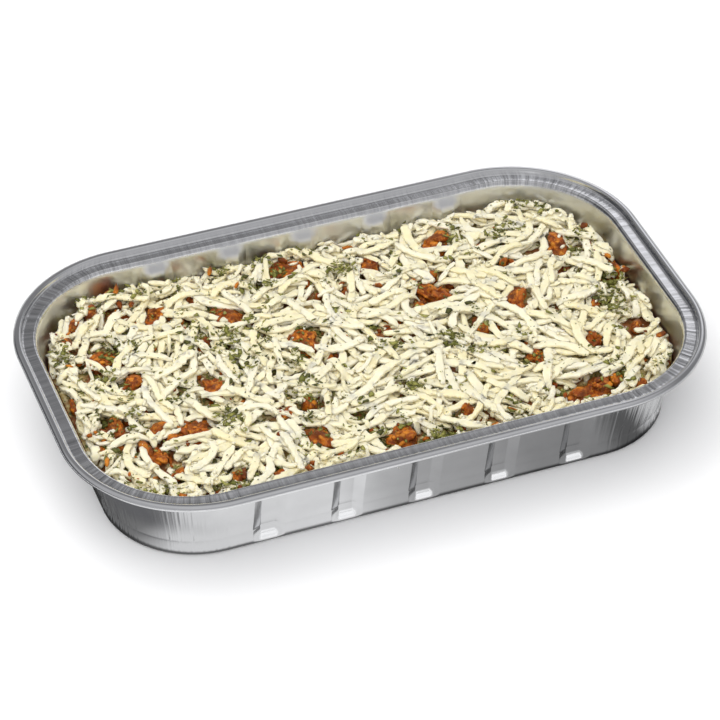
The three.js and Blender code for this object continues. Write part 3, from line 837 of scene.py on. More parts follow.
# %% Bits of meat
BIT_PLACES = [
    # x, y, length, width, turn in degrees
    (-79, -17, 9, 5, 20), (-86, -26, 9, 5, 100), (-79, -40, 9, 5, 30), (-72, 56, 7, 5, 0),
    (27, 13, 6, 5, 40), (-102, 4, 10, 4, 88), (-70, -54, 6, 4, 20), (-69, 38, 6, 5, 50),
    (-62, -50, 7, 4, 70), (-28, -43, 8, 4, 150), (-76, -24, 9, 4, 10), (83, -51, 7, 5, 40),
    (-82, 50, 7, 4, 60), (76, -46, 6, 5, 0), (-36, -25, 6, 4, 30), (38, 28, 6, 4, 120),
    (-27, -23, 6, 5, 80), (-90, 46, 6, 4, 40), (86, -6, 7, 4, 90), (-95, 36, 7, 4, 70),
    (101, 9, 8, 3, 90), (-50, 20, 6, 4, 10), (8, -28, 7, 4, 40), (22, -44, 7, 5, 100),
    (70, 44, 7, 4, 140), (-4, 32, 6, 4, 70), (95, -22, 7, 4, 60), (-48, -52, 8, 5, 20),
    (44, -6, 6, 4, 0), (12, 4, 6, 4, 130), (64, 25, 7, 4, 20), (-45, 52, 6, 4, 170),
    (28, -55, 7, 4, 5), (-100, -20, 7, 3, 80),
]
ALL_MEAT = LUMP_PLACES + BIT_PLACES
STREWN_BITS, STREWN_LENGTHS = 100, (2.6, 6.0)
BIT_POINTS = (13, 20)
BIT_BOTTOM = 20.95


def random_place(draw, half_x, half_y, count=None):
    """One place in a rectangle about the middle, or many."""
    return draw.uniform(-half_x, half_x, count), draw.uniform(-half_y, half_y, count)


def strewn_places(draw, count, lengths):
    """Random places inside the wall and off the lumps."""
    places = []
    while len(places) < count:
        x, y = random_place(draw, 102, 58)
        length = draw.uniform(*lengths)
        free = all(lump_reach(x, y, lump, 1) > 1 for lump in LUMP_PLACES)
        if free and wall_room(x, y) > length / 2 + 0.2:
            places.append((x, y, length, length * draw.uniform(0.55, 0.9), draw.uniform(0, 180)))
    return places


def meat_bits_shapes(draw):
    """Bits at the chosen places stand a little out of the heap, and strewn ones lie on its bed."""
    bits = []
    for place in BIT_PLACES:
        top = float(heap_core(*place[:2])) + draw.uniform(1.8, 2.9)
        bits.append(knobbly_lump(place, BIT_BOTTOM, top, *BIT_POINTS, 26, draw))
    for place in strewn_places(draw, STREWN_BITS, STREWN_LENGTHS):
        bottom = float(bed_height(*place[:2])) - 1.0
        bits.append(knobbly_lump(place, bottom, bottom + draw.uniform(2.0, 3.6), *BIT_POINTS, 16, draw))
    return bits


bits = meat_bits_shapes(np.random.default_rng(43))
for shape, _, _ in bits:
    stamp(*axes_of(shape))
beyond = sum(int((wall_room(shape[..., 0], shape[..., 1]) < 0).sum()) for shape, _, _ in bits)
print("bits of meat beyond the wall:", beyond, "points")
meat_bits = add_mince("meat_bits", bits)

# %% [markdown]
# ## The bed of the heap
# Under the loose shreds lies a closed core, so that no gap looks into empty
# space. Its relief is as fine as crumbs, and its finish mixes cheese crumbs,
# herb and sauce, because that is what lies in the depth of a heap. The crumbs
# are coloured far darker and browner than the shreds, as painted shade of that depth.

# %% Bed of the heap
topping_low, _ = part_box("cheese_topping")
TOPPING_BOTTOM = topping_low.z / MM
BED_SHIFT = 0.7 * END_SHIFT
# Cheese crumbs coloured dark and brown: painted shade in the depth of the heap.
PAINTED_SHADE_CRUMB_STOPS = [(0.3, (0.28, 0.17, 0.045)), (0.5, (0.5, 0.38, 0.15)), (0.7, (0.78, 0.68, 0.4))]
DEEP_HERB, DEEP_SAUCE = (0.11, 0.13, 0.03), (0.23, 0.065, 0.016)


def bed_sections():
    """Rings from the floor's middle out to the edge, up, and back in over the top."""
    stations = outline_stations(corner_steps=66, long_steps=116, short_steps=40)
    edge = wall_inset(HEAP_EDGE) + SKIN + GAP + 1.0 + 1.2 * stations["flute"]
    floor = outline_points(stations, edge, TOPPING_BOTTOM, BED_SHIFT, [[0.3], [0.7], [1.0]])
    top = outline_points(stations, edge, 0, BED_SHIFT, np.linspace(1, 0.015, 56)[:, None])
    top[..., 2] = np.maximum(bed_height(top[..., 0], top[..., 1]), TOPPING_BOTTOM + 0.05)
    return np.concatenate([floor, top])


def bed_sockets(tree):
    """Crumbs of cheese, made dark and brown as painted shade of the heap's depth, with patches of herb and of
    sauce.
    """
    crumbs = noise_node(tree, 2.6, detail=4)
    herb_patches = mask(tree, noise_node(tree, 1.7, detail=3), 0.53, 0.6)
    sauce_patches = ranged(tree, noise_node(tree, 8, detail=3), 0, 0.9, 0.48, 0.58)
    green = blended(tree, herb_patches, colour_ramp(tree, crumbs, PAINTED_SHADE_CRUMB_STOPS), DEEP_HERB)
    return {"Base Color": blended(tree, sauce_patches, green, DEEP_SAUCE), "Roughness": 0.5,
            "Normal": bump_node(tree, crumbs, 0.5)}


bed_finish = new_finish("cheese_bed", bed_sockets)
cheese_bed = new_piece("cheese_bed", *closed_tubes(bed_sections()[None]), bed_finish)

# %% [markdown]
# ## Grated cheese
# A shred is a soft strip a few millimetres wide: rounded above, flatter below,
# thinner towards its ends and bent into an arc by the grater. Its middle line
# is an arc in plan. Its height comes from the map: the strip takes the highest
# cells under its width, and a low curve through these supports lifts it off
# narrow gaps, as a strip that bends only gently would span them.

# %% A strip's middle line
PATH_POINTS = 36
RESTING_SHARE = 0.7


def strip_path(x, y, heading, bend, wiggle, phase, length):
    """Middle line: the heading turns by `bend` from end to end, plus a gentle wave, and the line
    is the running sum of short steps along it, centred on x, y."""
    t = np.linspace(0, 1, PATH_POINTS)
    headings = heading + bend * (t - 0.5) + wiggle * np.sin(2 * np.pi * t + phase)
    step = length / (PATH_POINTS - 1)
    along_x = np.cumsum(np.cos(headings)) * step
    along_y = np.cumsum(np.sin(headings)) * step
    return x + along_x - along_x.mean(), y + along_y - along_y.mean(), headings


def resting_heights(x, y, headings, half_width, thickness, stiff):
    """Height of the strip's underside. The map gives a support height for each point: mostly the
    highest cell across the width. A low-order curve through the supports, raised until most of
    them lie under it, is the stiff strip. Where a support still stands out by more than the
    strip's own body, the strip gives way to it."""
    offsets = half_width * np.array([-0.8, -0.4, 0, 0.4, 0.8])[:, None]
    ix, iy = map_cells(x - offsets * np.sin(headings), y + offsets * np.cos(headings))
    across = height_map[ix, iy]
    support = 0.6 * across.max(0) + 0.4 * across.mean(0)
    t = np.linspace(-1, 1, PATH_POINTS)
    curve = np.polyval(np.polyfit(t, support, 3 if stiff else 2), t)
    curve += np.quantile(support - curve, RESTING_SHARE)
    rest = np.maximum(curve, across.max(0) - 0.7 * thickness)
    for _ in range(3):
        rest[1:-1] = (rest[:-2] + 2 * rest[1:-1] + rest[2:]) / 4
    return rest


# %% [markdown]
# A few trial places are drawn for each shred, and it falls where the heap is
# lowest. Most shreds lie roughly along a grain that turns over the heap. Some
# are laid along the wall, because the edge would stay bare if they were not.

# %% Laying one strip
HEAP_HALF_X, HEAP_HALF_Y = 103, 60
LONG_STRIP = 12


def grain_heading(x, y):
    """The way most shreds lie at a place: it turns slowly over the heap, as they fell in handfuls."""
    return 0.2 + 2.2 * math.sin(x / 37 + 0.7) * math.cos(y / 29 - 0.4) + 0.8 * math.sin((x + y) / 23)


def long_share(x, y):
    """Share of long shreds at a place. They lie in handfuls, with crumbly patches between."""
    return 0.25 + 0.75 * float(ramp(soft_noise(x, y, 0, 30, 61), -0.35, 0.3))


def trial_place(draw, by_wall):
    """A random place and the heading of the grain there, or a place a few millimetres from the
    wall and a heading roughly along the wall."""
    if not by_wall:
        x, y = random_place(draw, HEAP_HALF_X, HEAP_HALF_Y)
        turn = draw.normal(0, 0.55) if draw.uniform() < 0.55 else draw.uniform(0, 2 * np.pi)
        return x, y, grain_heading(x, y) + turn
    station = draw.integers(len(bed_stations["distance"]))
    out = bed_stations["out"][station]
    reach = RIM_RADIUS - wall_inset(BRIM) - SKIN - draw.uniform(1.6, 7)
    x, y = bed_stations["anchor"][station] + reach * out
    return x, y, math.atan2(out[0], -out[1]) + draw.normal(0, 0.7)


def lay_strip(draw, length, width, thickness, tries, over_meat, by_wall):
    """Draws trial places, keeps the lowest that clears the wall and the meat, and stamps it on the
    map. Returns the strip's middle line, headings, size and a tone, or None."""
    best = None
    for _ in range(tries):
        x0, y0, heading = trial_place(draw, by_wall)
        if length > LONG_STRIP and not by_wall and draw.uniform() > long_share(x0, y0):
            continue
        bend = draw.normal(0, 0.8) * min(1, length / 18)
        wiggle, phase = draw.normal(0, 0.13), draw.uniform(0, 6.28)
        x, y, headings = strip_path(x0, y0, heading, bend, wiggle, phase, length)
        if wall_room(x, y).min() < width / 2 + 0.15:
            continue
        if max(float((lump_reach(x, y, lump) < 0.85).mean()) for lump in ALL_MEAT) > over_meat:
            continue
        rest = resting_heights(x, y, headings, width / 2, thickness, length > LONG_STRIP)
        low_enough = float(rest.max()) + thickness < HEAP_LIMIT
        if low_enough and (best is None or rest.mean() < best["rest"].mean()):
            best = {"x": x, "y": y, "heading": headings, "rest": rest}
    if best is None:
        return None
    x, y, headings, rest = best.values()
    across = np.linspace(-1, 1, 9)[:, None]
    stamp(x - across * width / 2 * np.sin(headings), y + across * width / 2 * np.cos(headings),
          rest + thickness * (0.95 - 0.3 * across ** 2))
    return {**best, "width": width, "thickness": thickness, "tone": draw.uniform()}


def lay_many(draw, count, lengths, widths, thicknesses, tries, over_meat=0.1, by_wall=False):
    """Lays strips, longest first, with sizes drawn between the two limits given for each."""
    sizes = np.sort(lengths[0] + (lengths[1] - lengths[0]) * draw.beta(1, 1.7, count))[::-1]
    laid = [lay_strip(draw, length, draw.uniform(*widths), draw.uniform(*thicknesses),
                      tries, over_meat, by_wall) for length in sizes]
    return [strip for strip in laid if strip is not None]


# %% [markdown]
# ## Where herb and crumbs fall
# Herb falls in pinches and as fine dust, and crumbs roll into the gaps. Each
# place is a point in plan, and its height is read off the map as the heap
# stands at that moment.

# %% Places for herb and crumbs
def on_heap(x, y, room, count=None):
    """The first places that lie inside the wall by some room, with the heap's height (3, n)."""
    inside = wall_room(x, y) > room
    x, y = x[inside][:count], y[inside][:count]
    return np.stack([x, y, height_map[map_cells(x, y)]])


def scatter(draw, count, room):
    """Places strewn evenly."""
    return on_heap(*random_place(draw, HEAP_HALF_X, HEAP_HALF_Y, 3 * count), room, count)


def clustered(draw, count, room, clusters, spread):
    """Places gathered round random middles, as a pinch of herb falls."""
    middles = np.stack(random_place(draw, 100, 57, clusters), -1)
    weights = draw.gamma(0.7, 1, clusters)
    chosen = draw.choice(clusters, 3 * count, p=weights / weights.sum())
    x, y = (middles[chosen] + draw.normal(0, spread, (3 * count, 2))).T
    return on_heap(x, y, room, count)


def round_the_meat(draw, count, spread, room):
    """Places of crumbs that broke off the lumps and bits, and lie round them."""
    sources = np.array(ALL_MEAT, float)[:, :2]
    x, y = (sources[draw.integers(len(sources), size=count)] + draw.normal(0, spread, (count, 2))).T
    return on_heap(x, y, room)


def off_the_meat(draw, places, share_left=0.08):
    """The same places without most of those that lie on a lump of meat."""
    on_lump = np.min([lump_reach(*places[:2], lump) for lump in LUMP_PLACES], 0) < 1
    return places[:, ~on_lump | (draw.uniform(size=places.shape[1]) < share_left)]


def in_gaps(draw, places, share_left=0.3, reach=1.5, lower=0.35):
    """The places that lie lower than the heap around them, where falling herb slides to, and a
    share of the others."""
    x, y, z = places
    angle = 2 * np.pi * np.arange(8)[:, None] / 8
    around = height_map[map_cells(x + reach * np.cos(angle), y + reach * np.sin(angle))]
    in_gap = z < around.clip(max=HEAP_LIMIT).mean(0) - lower
    return places[:, in_gap | (draw.uniform(size=len(x)) < share_left)]


# %% [markdown]
# ## Laying the heap
# The heap is laid in turns, as it falls from a hand: short bits first, then
# herb, middling shreds and those along the wall. Crumbs break off the meat,
# long shreds cover it all, and short bits, crumbs and herb end up on top and
# in the gaps. One source of random numbers serves all the turns.

# %% Lay the heap
heap_draw = np.random.default_rng(2026)
bottom_bits = lay_many(heap_draw, 480, (4, 11), (1.5, 2.8), (1.0, 1.5), 3)
early_herb = clustered(heap_draw, 3000, 1.2, 190, 1.8)
middle_shreds = lay_many(heap_draw, 250, (8, 18), (1.8, 2.9), (1.0, 1.4), 5)
edge_shreds = lay_many(heap_draw, 230, (6, 20), (1.6, 2.9), (1.1, 1.5), 4, by_wall=True)
middle_herb = clustered(heap_draw, 3200, 1.2, 190, 2.4)
broken_off = round_the_meat(heap_draw, 450, 8, 1.6)
long_shreds = lay_many(heap_draw, 400, (15, 42), (2.1, 3.1), (1.1, 1.5), 16)
top_bits = lay_many(heap_draw, 170, (2.5, 10), (1.1, 2.4), (0.8, 1.3), 6, over_meat=0.35)
crumb_places = off_the_meat(heap_draw, in_gaps(heap_draw, scatter(heap_draw, 3400, 0.8), 0.35))
late_herb = in_gaps(heap_draw, off_the_meat(heap_draw, clustered(heap_draw, 7600, 1.2, 220, 2.2)))
fine_herb = in_gaps(heap_draw, off_the_meat(heap_draw, scatter(heap_draw, 5000, 0.8)), 0.2)
print("herb laid late:", late_herb.shape[1], "fine:", fine_herb.shape[1])
print("laid:", len(bottom_bits), len(middle_shreds), len(edge_shreds), len(long_shreds), len(top_bits))
tops = height_map[in_tray]
print("heap height: mean", round(float(tops.mean()), 2), "highest", round(float(tops.max()), 2), "mm")

# %% [markdown]
# ## Cheese finish
# Fresh mozzarella is a pale ivory with a soft, moist surface. Light enters it
# a little way, which the shader's subsurface part stands for, and shreds
# differ slightly in tone, so each carries its own value on its points.

# %% Cheese and herb finishes
IVORY_STOPS = [(0.0, (0.865, 0.765, 0.48)), (0.45, (0.89, 0.81, 0.55)), (1.0, (0.9, 0.835, 0.63))]
HERB_STOPS = [(0.0, (0.05, 0.05, 0.01)), (0.35, (0.135, 0.138, 0.024)), (0.7, (0.27, 0.265, 0.06)),
              (1.0, (0.42, 0.39, 0.12))]


def cheese_sockets(tree):
    """Ivory with a faint yellow mottle, through which light spreads about two millimetres."""
    ivory = colour_ramp(tree, tone_node(tree, "tone"), IVORY_STOPS)
    mottle = noise_node(tree, 1.0, detail=5)
    return {
        "Base Color": blended(tree, ranged(tree, mottle, 0, 0.35, 0.5, 0.75), ivory, (0.83, 0.75, 0.49)),
        "Roughness": 0.5, "Specular IOR Level": 0.35, "Normal": bump_node(tree, mottle, 0.16),
        "Subsurface Weight": 0.9, "Subsurface Radius": (0.0019, 0.0020, 0.0023), "Subsurface Scale": 1.0,
    }


def herb_sockets(tree):
    """Dried herb, from olive to nearly black green."""
    veins = noise_node(tree, 0.4, detail=2)
    return {"Base Color": colour_ramp(tree, tone_node(tree, "tone"), HERB_STOPS), "Roughness": 0.6,
            "Normal": bump_node(tree, veins, 0.08)}


cheese = new_finish("cheese", cheese_sockets)
herb = new_finish("herb", herb_sockets)

# %% [markdown]
# ## The shreds as pieces
# A strip's body is its section carried along the middle line. All strips of a
# kind have the same number of sections and of points in a section, so the
# whole heap is one array of strips by sections by points.

# %% Strips as arrays
FADE = (0.01, 0.15)
END_SIZE = 0.55
SWELL = 0.14
SQUARE = 0.45
FLAT_BELOW = 0.8
RAGGED = 0.1
SIDE_STEP = 0.12
ROUGH = 0.04
shape_draw = np.random.default_rng(77)


def column(laid, key):
    """One value of every strip, as an array."""
    return np.array([strip[key] for strip in laid])


def strip_sections(laid, sections, sides, draw):
    """Points (strips, sections, sides, 3). The section is an oval, flatter below, whose width and
    height fade at the ends. It leans and swells a little along the strip."""
    picks = np.linspace(0, PATH_POINTS - 1, sections).round().astype(int)
    x, y, heading, rest = (column(laid, key)[:, picks] for key in ("x", "y", "heading", "rest"))
    width, thickness = (column(laid, key)[:, None] for key in ("width", "thickness"))
    count = len(laid)
    t = np.linspace(0, 1, sections)[None]
    near, far = draw.uniform(*FADE, (2, count, 1))
    fade = np.minimum(np.clip(t / near, 0, 1), np.clip((1 - t) / far, 0, 1))
    taper = END_SIZE + (1 - END_SIZE) * fade ** 0.6
    waves, phase = draw.uniform(0.6, 2.6, (count, 1)), draw.uniform(0, 1, (count, 1))
    swell = 1 + SWELL * np.sin(2 * np.pi * (t * waves + phase))
    lean = draw.normal(0, 0.2, (count, 1)) + draw.normal(0, 0.35, (count, 1)) * (t - 0.5)
    angle = 2 * np.pi * (np.arange(sides) + 0.5) / sides
    over, up = (np.sign(wave) * np.abs(wave) ** SQUARE for wave in (np.cos(angle), np.sin(angle)))
    up = up * np.where(up > 0, 1, FLAT_BELOW)
    ragged = 1 + RAGGED * draw.normal(size=(2, count, sections, 1))
    edge = np.where(over > 0, ragged[0], ragged[1])
    across = (width / 2 * taper * swell)[..., None] * over * edge
    rise = (thickness / 2 * (0.35 + 0.65 * taper))[..., None] * up
    x, y = (axis + draw.normal(0, SIDE_STEP, (count, sections)) for axis in (x, y))
    rough = 1 + ROUGH * draw.normal(size=across.shape)
    across, rise = across * rough, rise * rough
    x, y, z, heading, lean = (v[..., None] for v in (x, y, rest + thickness / 2, heading, lean))
    side = across * np.cos(lean) - rise * np.sin(lean)
    lift = across * np.sin(lean) * 0.5 + rise * np.cos(lean)
    height = np.clip(z + lift, TOPPING_BOTTOM, HEAP_LIMIT)
    return np.stack([x - side * np.sin(heading), y + side * np.cos(heading), height], -1)


def strip_tones(laid, shapes, draw):
    """One tone for each strip, with a little drift along it."""
    drift = 0.12 * draw.normal(size=shapes.shape[:2])[..., None]
    return np.clip(column(laid, "tone")[:, None, None] + drift + np.zeros(shapes.shape[:3]), 0, 1)


def add_strips(name, laid, sections, sides):
    """One piece from all the strips of a kind, with flat faces like fresh cuts."""
    shapes = strip_sections(laid, sections, sides, shape_draw)
    tones = with_poles(strip_tones(laid, shapes, shape_draw))
    return new_piece(name, *closed_tubes(shapes), cheese, smooth=False, tone=tones)


long_cheese = add_strips("cheese_long_shreds", long_shreds, 21, 8)
middle_cheese = add_strips("cheese_middle_shreds", middle_shreds + edge_shreds, 14, 8)
short_cheese = add_strips("cheese_short_bits", bottom_bits + top_bits, 6, 7)

# %% [markdown]
# ## Crumbs
# A crumb is the simplest ball, twenty equal triangles, with every corner
# pushed in or out and the whole stretched and turned. Cheese and meat leave
# the same kind of crumb, and only the finish and the sizes differ.

# %% Crumbs of meat and cheese
GOLDEN = (1 + 5 ** 0.5) / 2
BALL_CORNERS = np.array([
    (-1, GOLDEN, 0), (1, GOLDEN, 0), (-1, -GOLDEN, 0), (1, -GOLDEN, 0), (0, -1, GOLDEN), (0, 1, GOLDEN),
    (0, -1, -GOLDEN), (0, 1, -GOLDEN), (GOLDEN, 0, -1), (GOLDEN, 0, 1), (-GOLDEN, 0, -1), (-GOLDEN, 0, 1)])
BALL_CORNERS = BALL_CORNERS / np.linalg.norm(BALL_CORNERS[0])
BALL_FACES = np.array([
    (0, 11, 5), (0, 5, 1), (0, 1, 7), (0, 7, 10), (0, 10, 11), (1, 5, 9), (5, 11, 4), (11, 10, 2), (10, 7, 6),
    (7, 1, 8), (3, 9, 4), (3, 4, 2), (3, 2, 6), (3, 6, 8), (3, 8, 9), (4, 9, 5), (2, 4, 11), (6, 2, 10),
    (8, 6, 7), (9, 8, 1)])

BALL_STRETCH = ((0.9, 2.2), (0.6, 1.0), (0.5, 0.85))


def tumbled(draw, shapes, tilt):
    """Each shape turned at random about the upright, after a lean of about `tilt` radians about a
    level axis."""
    count = len(shapes)
    heading, lean = draw.uniform(0, 2 * np.pi, count), draw.normal(0, tilt, count)
    c, s, cl, sl = np.cos(heading), np.sin(heading), np.cos(lean), np.sin(lean)
    turns = np.array([[c, -s * cl, s * sl], [s, c * cl, -c * sl], [0 * c, sl, cl]])
    return np.einsum("ijn,nkj->nki", turns, shapes)


def moved(shapes, places, lift):
    """The shapes at their places, raised by a lift and kept under the heap's limit."""
    shapes = shapes + (places + np.stack([0 * lift, 0 * lift, lift])).T[:, None]
    shapes[..., 2] = np.minimum(shapes[..., 2], HEAP_LIMIT)
    return shapes


def crumb_shapes(places, usual_size, limits):
    """Crumbs (count, 12, 3) at the places, with a tone of its own for each."""
    count = places.shape[1]
    sizes = shape_draw.gamma(*usual_size, count).clip(*limits)
    balls = BALL_CORNERS[None] * shape_draw.uniform(0.6, 1.2, (count, len(BALL_CORNERS), 1))
    stretch = np.stack([shape_draw.uniform(*span, count) for span in BALL_STRETCH], -1)
    balls = tumbled(shape_draw, balls * stretch[:, None] * (sizes / 2)[:, None, None], 0.5)
    tones = np.repeat(shape_draw.uniform(0, 1, count), len(BALL_CORNERS))
    return moved(balls, places, 0.18 * sizes), tones


def add_crumbs(name, shapes, finish, **tones):
    """One piece from all the crumbs of a kind."""
    return new_piece(name, shapes, [repeated(BALL_FACES, *shapes.shape[:2])], finish, **tones)


shapes, tones = crumb_shapes(broken_off, (4.0, 0.5), (0.9, 3.6))
relief = shape_draw.uniform(0.3, 1, tones.shape)
meat_crumb_piece = add_crumbs("meat_crumbs", shapes, meat, relief=relief, knob=tones)
shapes, tones = crumb_shapes(crumb_places, (3.0, 0.33), (0.4, 2.0))
cheese_crumb_piece = add_crumbs("cheese_crumbs", shapes, cheese, tone=tones)

# %% [markdown]
# ## Dried herb
# A flake of dried herb is an uneven leaf scrap with six corners, curled a
# little. One point above its middle and one below give it some body.

# %% Herb flakes
FLAKE_CORNERS = 6


def herb_flakes(draw, places, sizes):
    """Flakes (count, 8, 3): a ring of corners, one point above its middle and one below."""
    ring_size = (len(sizes), FLAKE_CORNERS)
    angle = 2 * np.pi * np.arange(FLAKE_CORNERS) / FLAKE_CORNERS + draw.uniform(-0.4, 0.4, ring_size)
    reach = sizes[:, None] / 2 * draw.uniform(0.45, 1.45, ring_size)
    slim = draw.uniform(0.25, 0.75, (len(sizes), 1))
    curl = draw.uniform(-0.25, 0.35, (len(sizes), 1)) * sizes[:, None]
    ring = np.stack([reach * np.cos(angle), reach * slim * np.sin(angle), curl * np.cos(angle) ** 2], -1)
    middle = np.zeros((len(sizes), 2, 3))
    middle[:, 0, 2] = 0.12 + 0.1 * sizes
    middle[:, 1, 2] = -0.1 - 0.05 * sizes
    flakes = tumbled(draw, np.concatenate([ring, middle], 1), 0.45)
    return moved(flakes, places, 0.12 + 0.1 * sizes)


def flake_faces():
    """Two fans of triangles, one about the point above and one about that below."""
    here = np.arange(FLAKE_CORNERS)
    following = (here + 1) % FLAKE_CORNERS
    above, below = np.full(FLAKE_CORNERS, FLAKE_CORNERS), np.full(FLAKE_CORNERS, FLAKE_CORNERS + 1)
    return np.concatenate([np.stack([here, following, above], -1), np.stack([following, here, below], -1)])


herb_places = np.concatenate([early_herb, middle_herb, late_herb, fine_herb], 1)
fine_count = fine_herb.shape[1]
large = shape_draw.gamma(4.0, 0.4, herb_places.shape[1] - fine_count).clip(0.6, 3.6)
small = shape_draw.uniform(0.4, 1.0, fine_count)
flakes = herb_flakes(shape_draw, herb_places, np.concatenate([large, small]))
leaf_tone = np.repeat(shape_draw.beta(1.6, 1.8, len(flakes)), flakes.shape[1])
herb_faces = repeated(flake_faces(), *flakes.shape[:2])
herb_piece = new_piece("herb_flakes", flakes, [herb_faces], herb, tone=leaf_tone)

# %% [markdown]
# ## What replaces what
# The imported solids of tray and food are stood for by the pieces made here.
# The imported solids are hidden, and all the pieces belong to the one body.

# %% Ride and replace
for piece in [foil_tray, sauce_bed, meat_bits, cheese_bed, long_cheese, middle_cheese, short_cheese,
              cheese_crumb_piece, herb_piece, meat_crumb_piece, *lump_pieces]:
    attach(piece, "root")
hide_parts("tray")
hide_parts("filling")
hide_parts("cheese_topping")
for number, piece in enumerate(lump_pieces, start=1):
    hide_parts(f"meat_lump_{number:02d}")

# %% [markdown]
# ## Floor
# The tray stands on a plain pale floor. It and the card after it are a stage:
# they belong to the picture and not to the object.

# %% Floor
FLOOR_HALF, FLOOR_POINTS = 1500, 9
FLOOR_Z = -0.05


def floor_sockets(tree):
    """Nearly white paper."""
    paper = noise_node(tree, 60, detail=2)
    return {"Base Color": colour_ramp(tree, paper, [(0.2, grey(0.95)), (0.8, grey(0.97))]),
            "Roughness": 0.9, "Specular IOR Level": 0.1}


def add_floor():
    """A square grid of points, flat, just under the tray's base."""
    line = np.linspace(-FLOOR_HALF, FLOOR_HALF, FLOOR_POINTS)
    x, y = np.meshgrid(line, line, indexing="ij")
    points = np.stack([x, y, np.full_like(x, FLOOR_Z)], -1)
    faces = grid_faces(FLOOR_POINTS, FLOOR_POINTS, closed=False)[:, ::-1]
    new_piece("floor", points, [faces], new_finish("floor", floor_sockets))


add_floor()

# %% [markdown]
# ## What the foil sees
# Foil shows its surroundings more than itself, so what it sees is planned like
# a light. The wall of the tray mostly sees the floor near it. A card round the
# tray, which only the foil's reflections show, glows as a painted reflection of
# that floor: bright at the left, dimmer towards the right, and dark with a
# painted contact shadow where the tray touches down.

# %% Card for the reflections
CARD_STOPS = [
    # x in mm, brightness
    (-114, 0.08), (-100, 0.2), (-88, 0.7), (-26, 0.76), (-8, 0.46), (6, 0.39), (28, 0.35), (44, 0.26),
    (68, 0.23), (78, 0.1), (86, 0.1), (95, 0.6), (114, 0.65),
]
CARD_HALF = 120
CARD_INSETS = (17, 12.2, 11.2, 9.5, 7, 3, -1, -5, -12, -22, -40, -70, -160)
CARD_Z = -0.03
TOUCH_INSET = 14.5


def direction_axes(tree, coordinates):
    """The outputs X, Y and Z of the named texture coordinates."""
    place = add_node(tree, "TexCoord", {}, coordinates)
    return add_node(tree, "SeparateXYZ", {"Vector": place}, "X").node.outputs


def card_sockets(tree):
    """It only glows, as a painted reflection of the floor. Near the tray the brightness follows the
    stops, darkened by a painted contact shadow where the tray touches down, then comes an apron,
    then the table, and the card's front right end is painted dark."""
    place, reach = direction_axes(tree, "Object"), tone_node(tree, "far")
    x_share = mask(tree, place["X"], -CARD_HALF * MM, CARD_HALF * MM)
    stops = [((x + CARD_HALF) / (2 * CARD_HALF), grey(brightness)) for x, brightness in CARD_STOPS]
    # painted contact shadow: the glow darkens where the tray touches down
    painted_contact_shadow = ranged(tree, reach, 0.2, 1, 2.5, 3.3)
    near = blended(tree, 1.0, colour_ramp(tree, x_share, stops), painted_contact_shadow, "MULTIPLY")
    apron = colour_ramp(tree, x_share, [(0.5, grey(1)), (0.64, grey(0.5)), (1.0, grey(0.45))])
    with_apron = blended(tree, mask(tree, reach, 15.5, 18.5), near, apron)
    with_table = blended(tree, mask(tree, reach, 55, 90), with_apron, grey(0.38))
    right_end = product(tree, mask(tree, reach, 6, 10), mask(tree, place["Y"], -0.066, -0.05),
                        mask(tree, place["X"], 0.1, 0.06))
    return {"Base Color": grey(0), "Specular IOR Level": 0.0, "Roughness": 1.0, "Emission Strength": 1.0,
            "Emission Color": blended(tree, right_end, with_table, grey(0.13, 0.005))}


def add_card():
    """A ring on the floor round the tray, whose points know how far out they lie."""
    insets = np.array(CARD_INSETS)[:, None]
    points = outline_points(bed_stations, insets, CARD_Z)
    faces = grid_faces(*points.shape[:2])[:, ::-1]
    far = np.broadcast_to(TOUCH_INSET - insets, points.shape[:2])
    card = new_piece("reflection_card", points, [faces], new_finish("card", card_sockets), far=far)
    for kind in ("camera", "diffuse", "transmission", "volume_scatter", "shadow"):
        setattr(card, f"visible_{kind}", False)


add_card()

# %% [markdown]
# ## Light
# The world is pale near the horizon and greyer above, and patches of it are
# made paler or dimmer, such as a pale wall behind the right end, which
# brightens the ledge there. Three large soft lights, from the rear, the front
# and above, light the food but stay out of the foil.

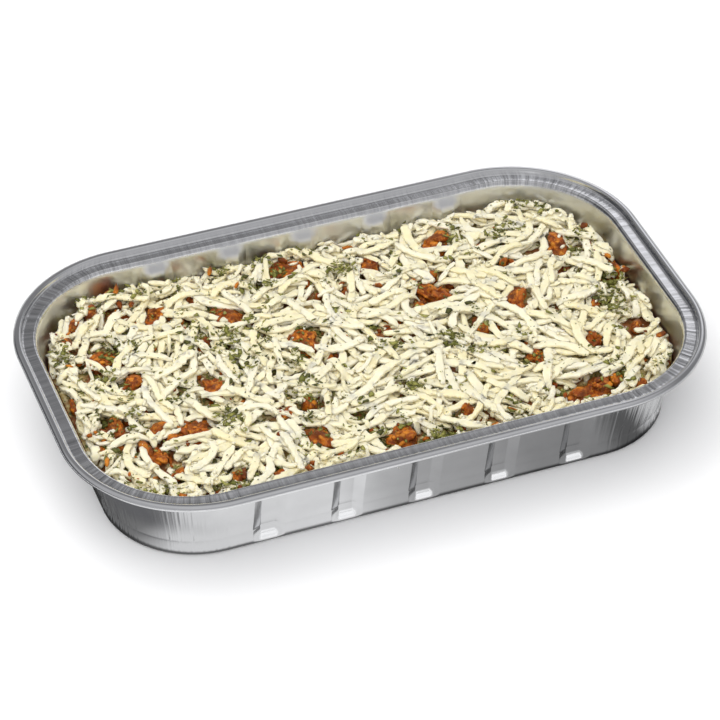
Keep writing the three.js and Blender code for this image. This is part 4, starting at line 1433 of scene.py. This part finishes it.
# %% Light
SKY_STOPS = [(0.0, grey(0.6)), (0.2, grey(0.64)), (0.3, grey(0.55)), (0.4, grey(0.23, 0.005)),
             (0.79, grey(0.2, 0.005)), (0.88, grey(0.42, 0.01)), (0.95, grey(0.52, 0.01))]
SKY_PATCHES = [
    # colour, then each axis of the direction with its values where the patch is nothing and full
    (grey(0.44, 0.01), ("Y", -0.1, -0.45), ("Z", 0.9, 0.7)),
    (grey(1.1), ("Y", -0.74, -0.86), ("Z", 0.2, 0.1)),
    (grey(0.42, 0.01), ("X", -0.12, -0.32), ("Z", 0.57, 0.64)),
    (grey(0.08, 0.005), ("X", -0.2, -0.45), ("Z", 0.58, 0.46), ("Y", 0.0, 0.3)),
    (grey(0.85, 0.03), ("X", 0.3, 0.37), ("X", 0.62, 0.54), ("Z", 0.68, 0.6), ("Y", -0.1, 0.2)),
]
SOFTBOXES = [
    # name, place in metres, width and height, power
    ("rear_softbox", (-0.5, 0.55, 1.1), (1.5, 1.1), 6.5),
    ("front_softbox", (-0.4, -1.0, 1.15), (2.2, 1.5), 13.5),
    ("top_softbox", (-0.1, 0.1, 1.5), (2.0, 2.0), 13.5),
]


def studio_world():
    """Surroundings as a ramp over the height of the direction, with patches laid over it: the low
    and the high front, the high left, the dim left rear and the wall behind the right."""
    world = bpy.data.worlds.new("studio")
    bpy.context.scene.world = world
    world.use_nodes = True
    tree = world.node_tree
    axes = direction_axes(tree, "Generated")
    seen = colour_ramp(tree, mask(tree, axes["Z"], -0.2, 1.0), SKY_STOPS)
    for colour, *limits in SKY_PATCHES:
        masks = [mask(tree, axes[axis], nothing, full) for axis, nothing, full in limits]
        seen = blended(tree, product(tree, *masks), seen, colour)
    set_sockets(tree.nodes["Background"], {"Color": seen, "Strength": 1.0})


def soft_light(name, place, size, power):
    """A rectangle of light that looks at the tray's middle and leaves no reflection."""
    lamp = bpy.data.lights.new(name, "AREA")
    lamp.shape = "RECTANGLE"
    lamp.size, lamp.size_y = size
    lamp.energy = power
    thing = bpy.data.objects.new(name, lamp)
    bpy.context.scene.collection.objects.link(thing)
    thing.visible_glossy = False
    facing = (-Vector(place)).to_track_quat("-Z", "Y").to_matrix().to_4x4()
    thing.matrix_world = Matrix.Translation(place) @ facing


studio_world()
for softbox in SOFTBOXES:
    soft_light(*softbox)
bpy.context.scene.view_settings.view_transform = "Standard"
print("lights:", len(SOFTBOXES), "patches of the world:", len(SKY_PATCHES))
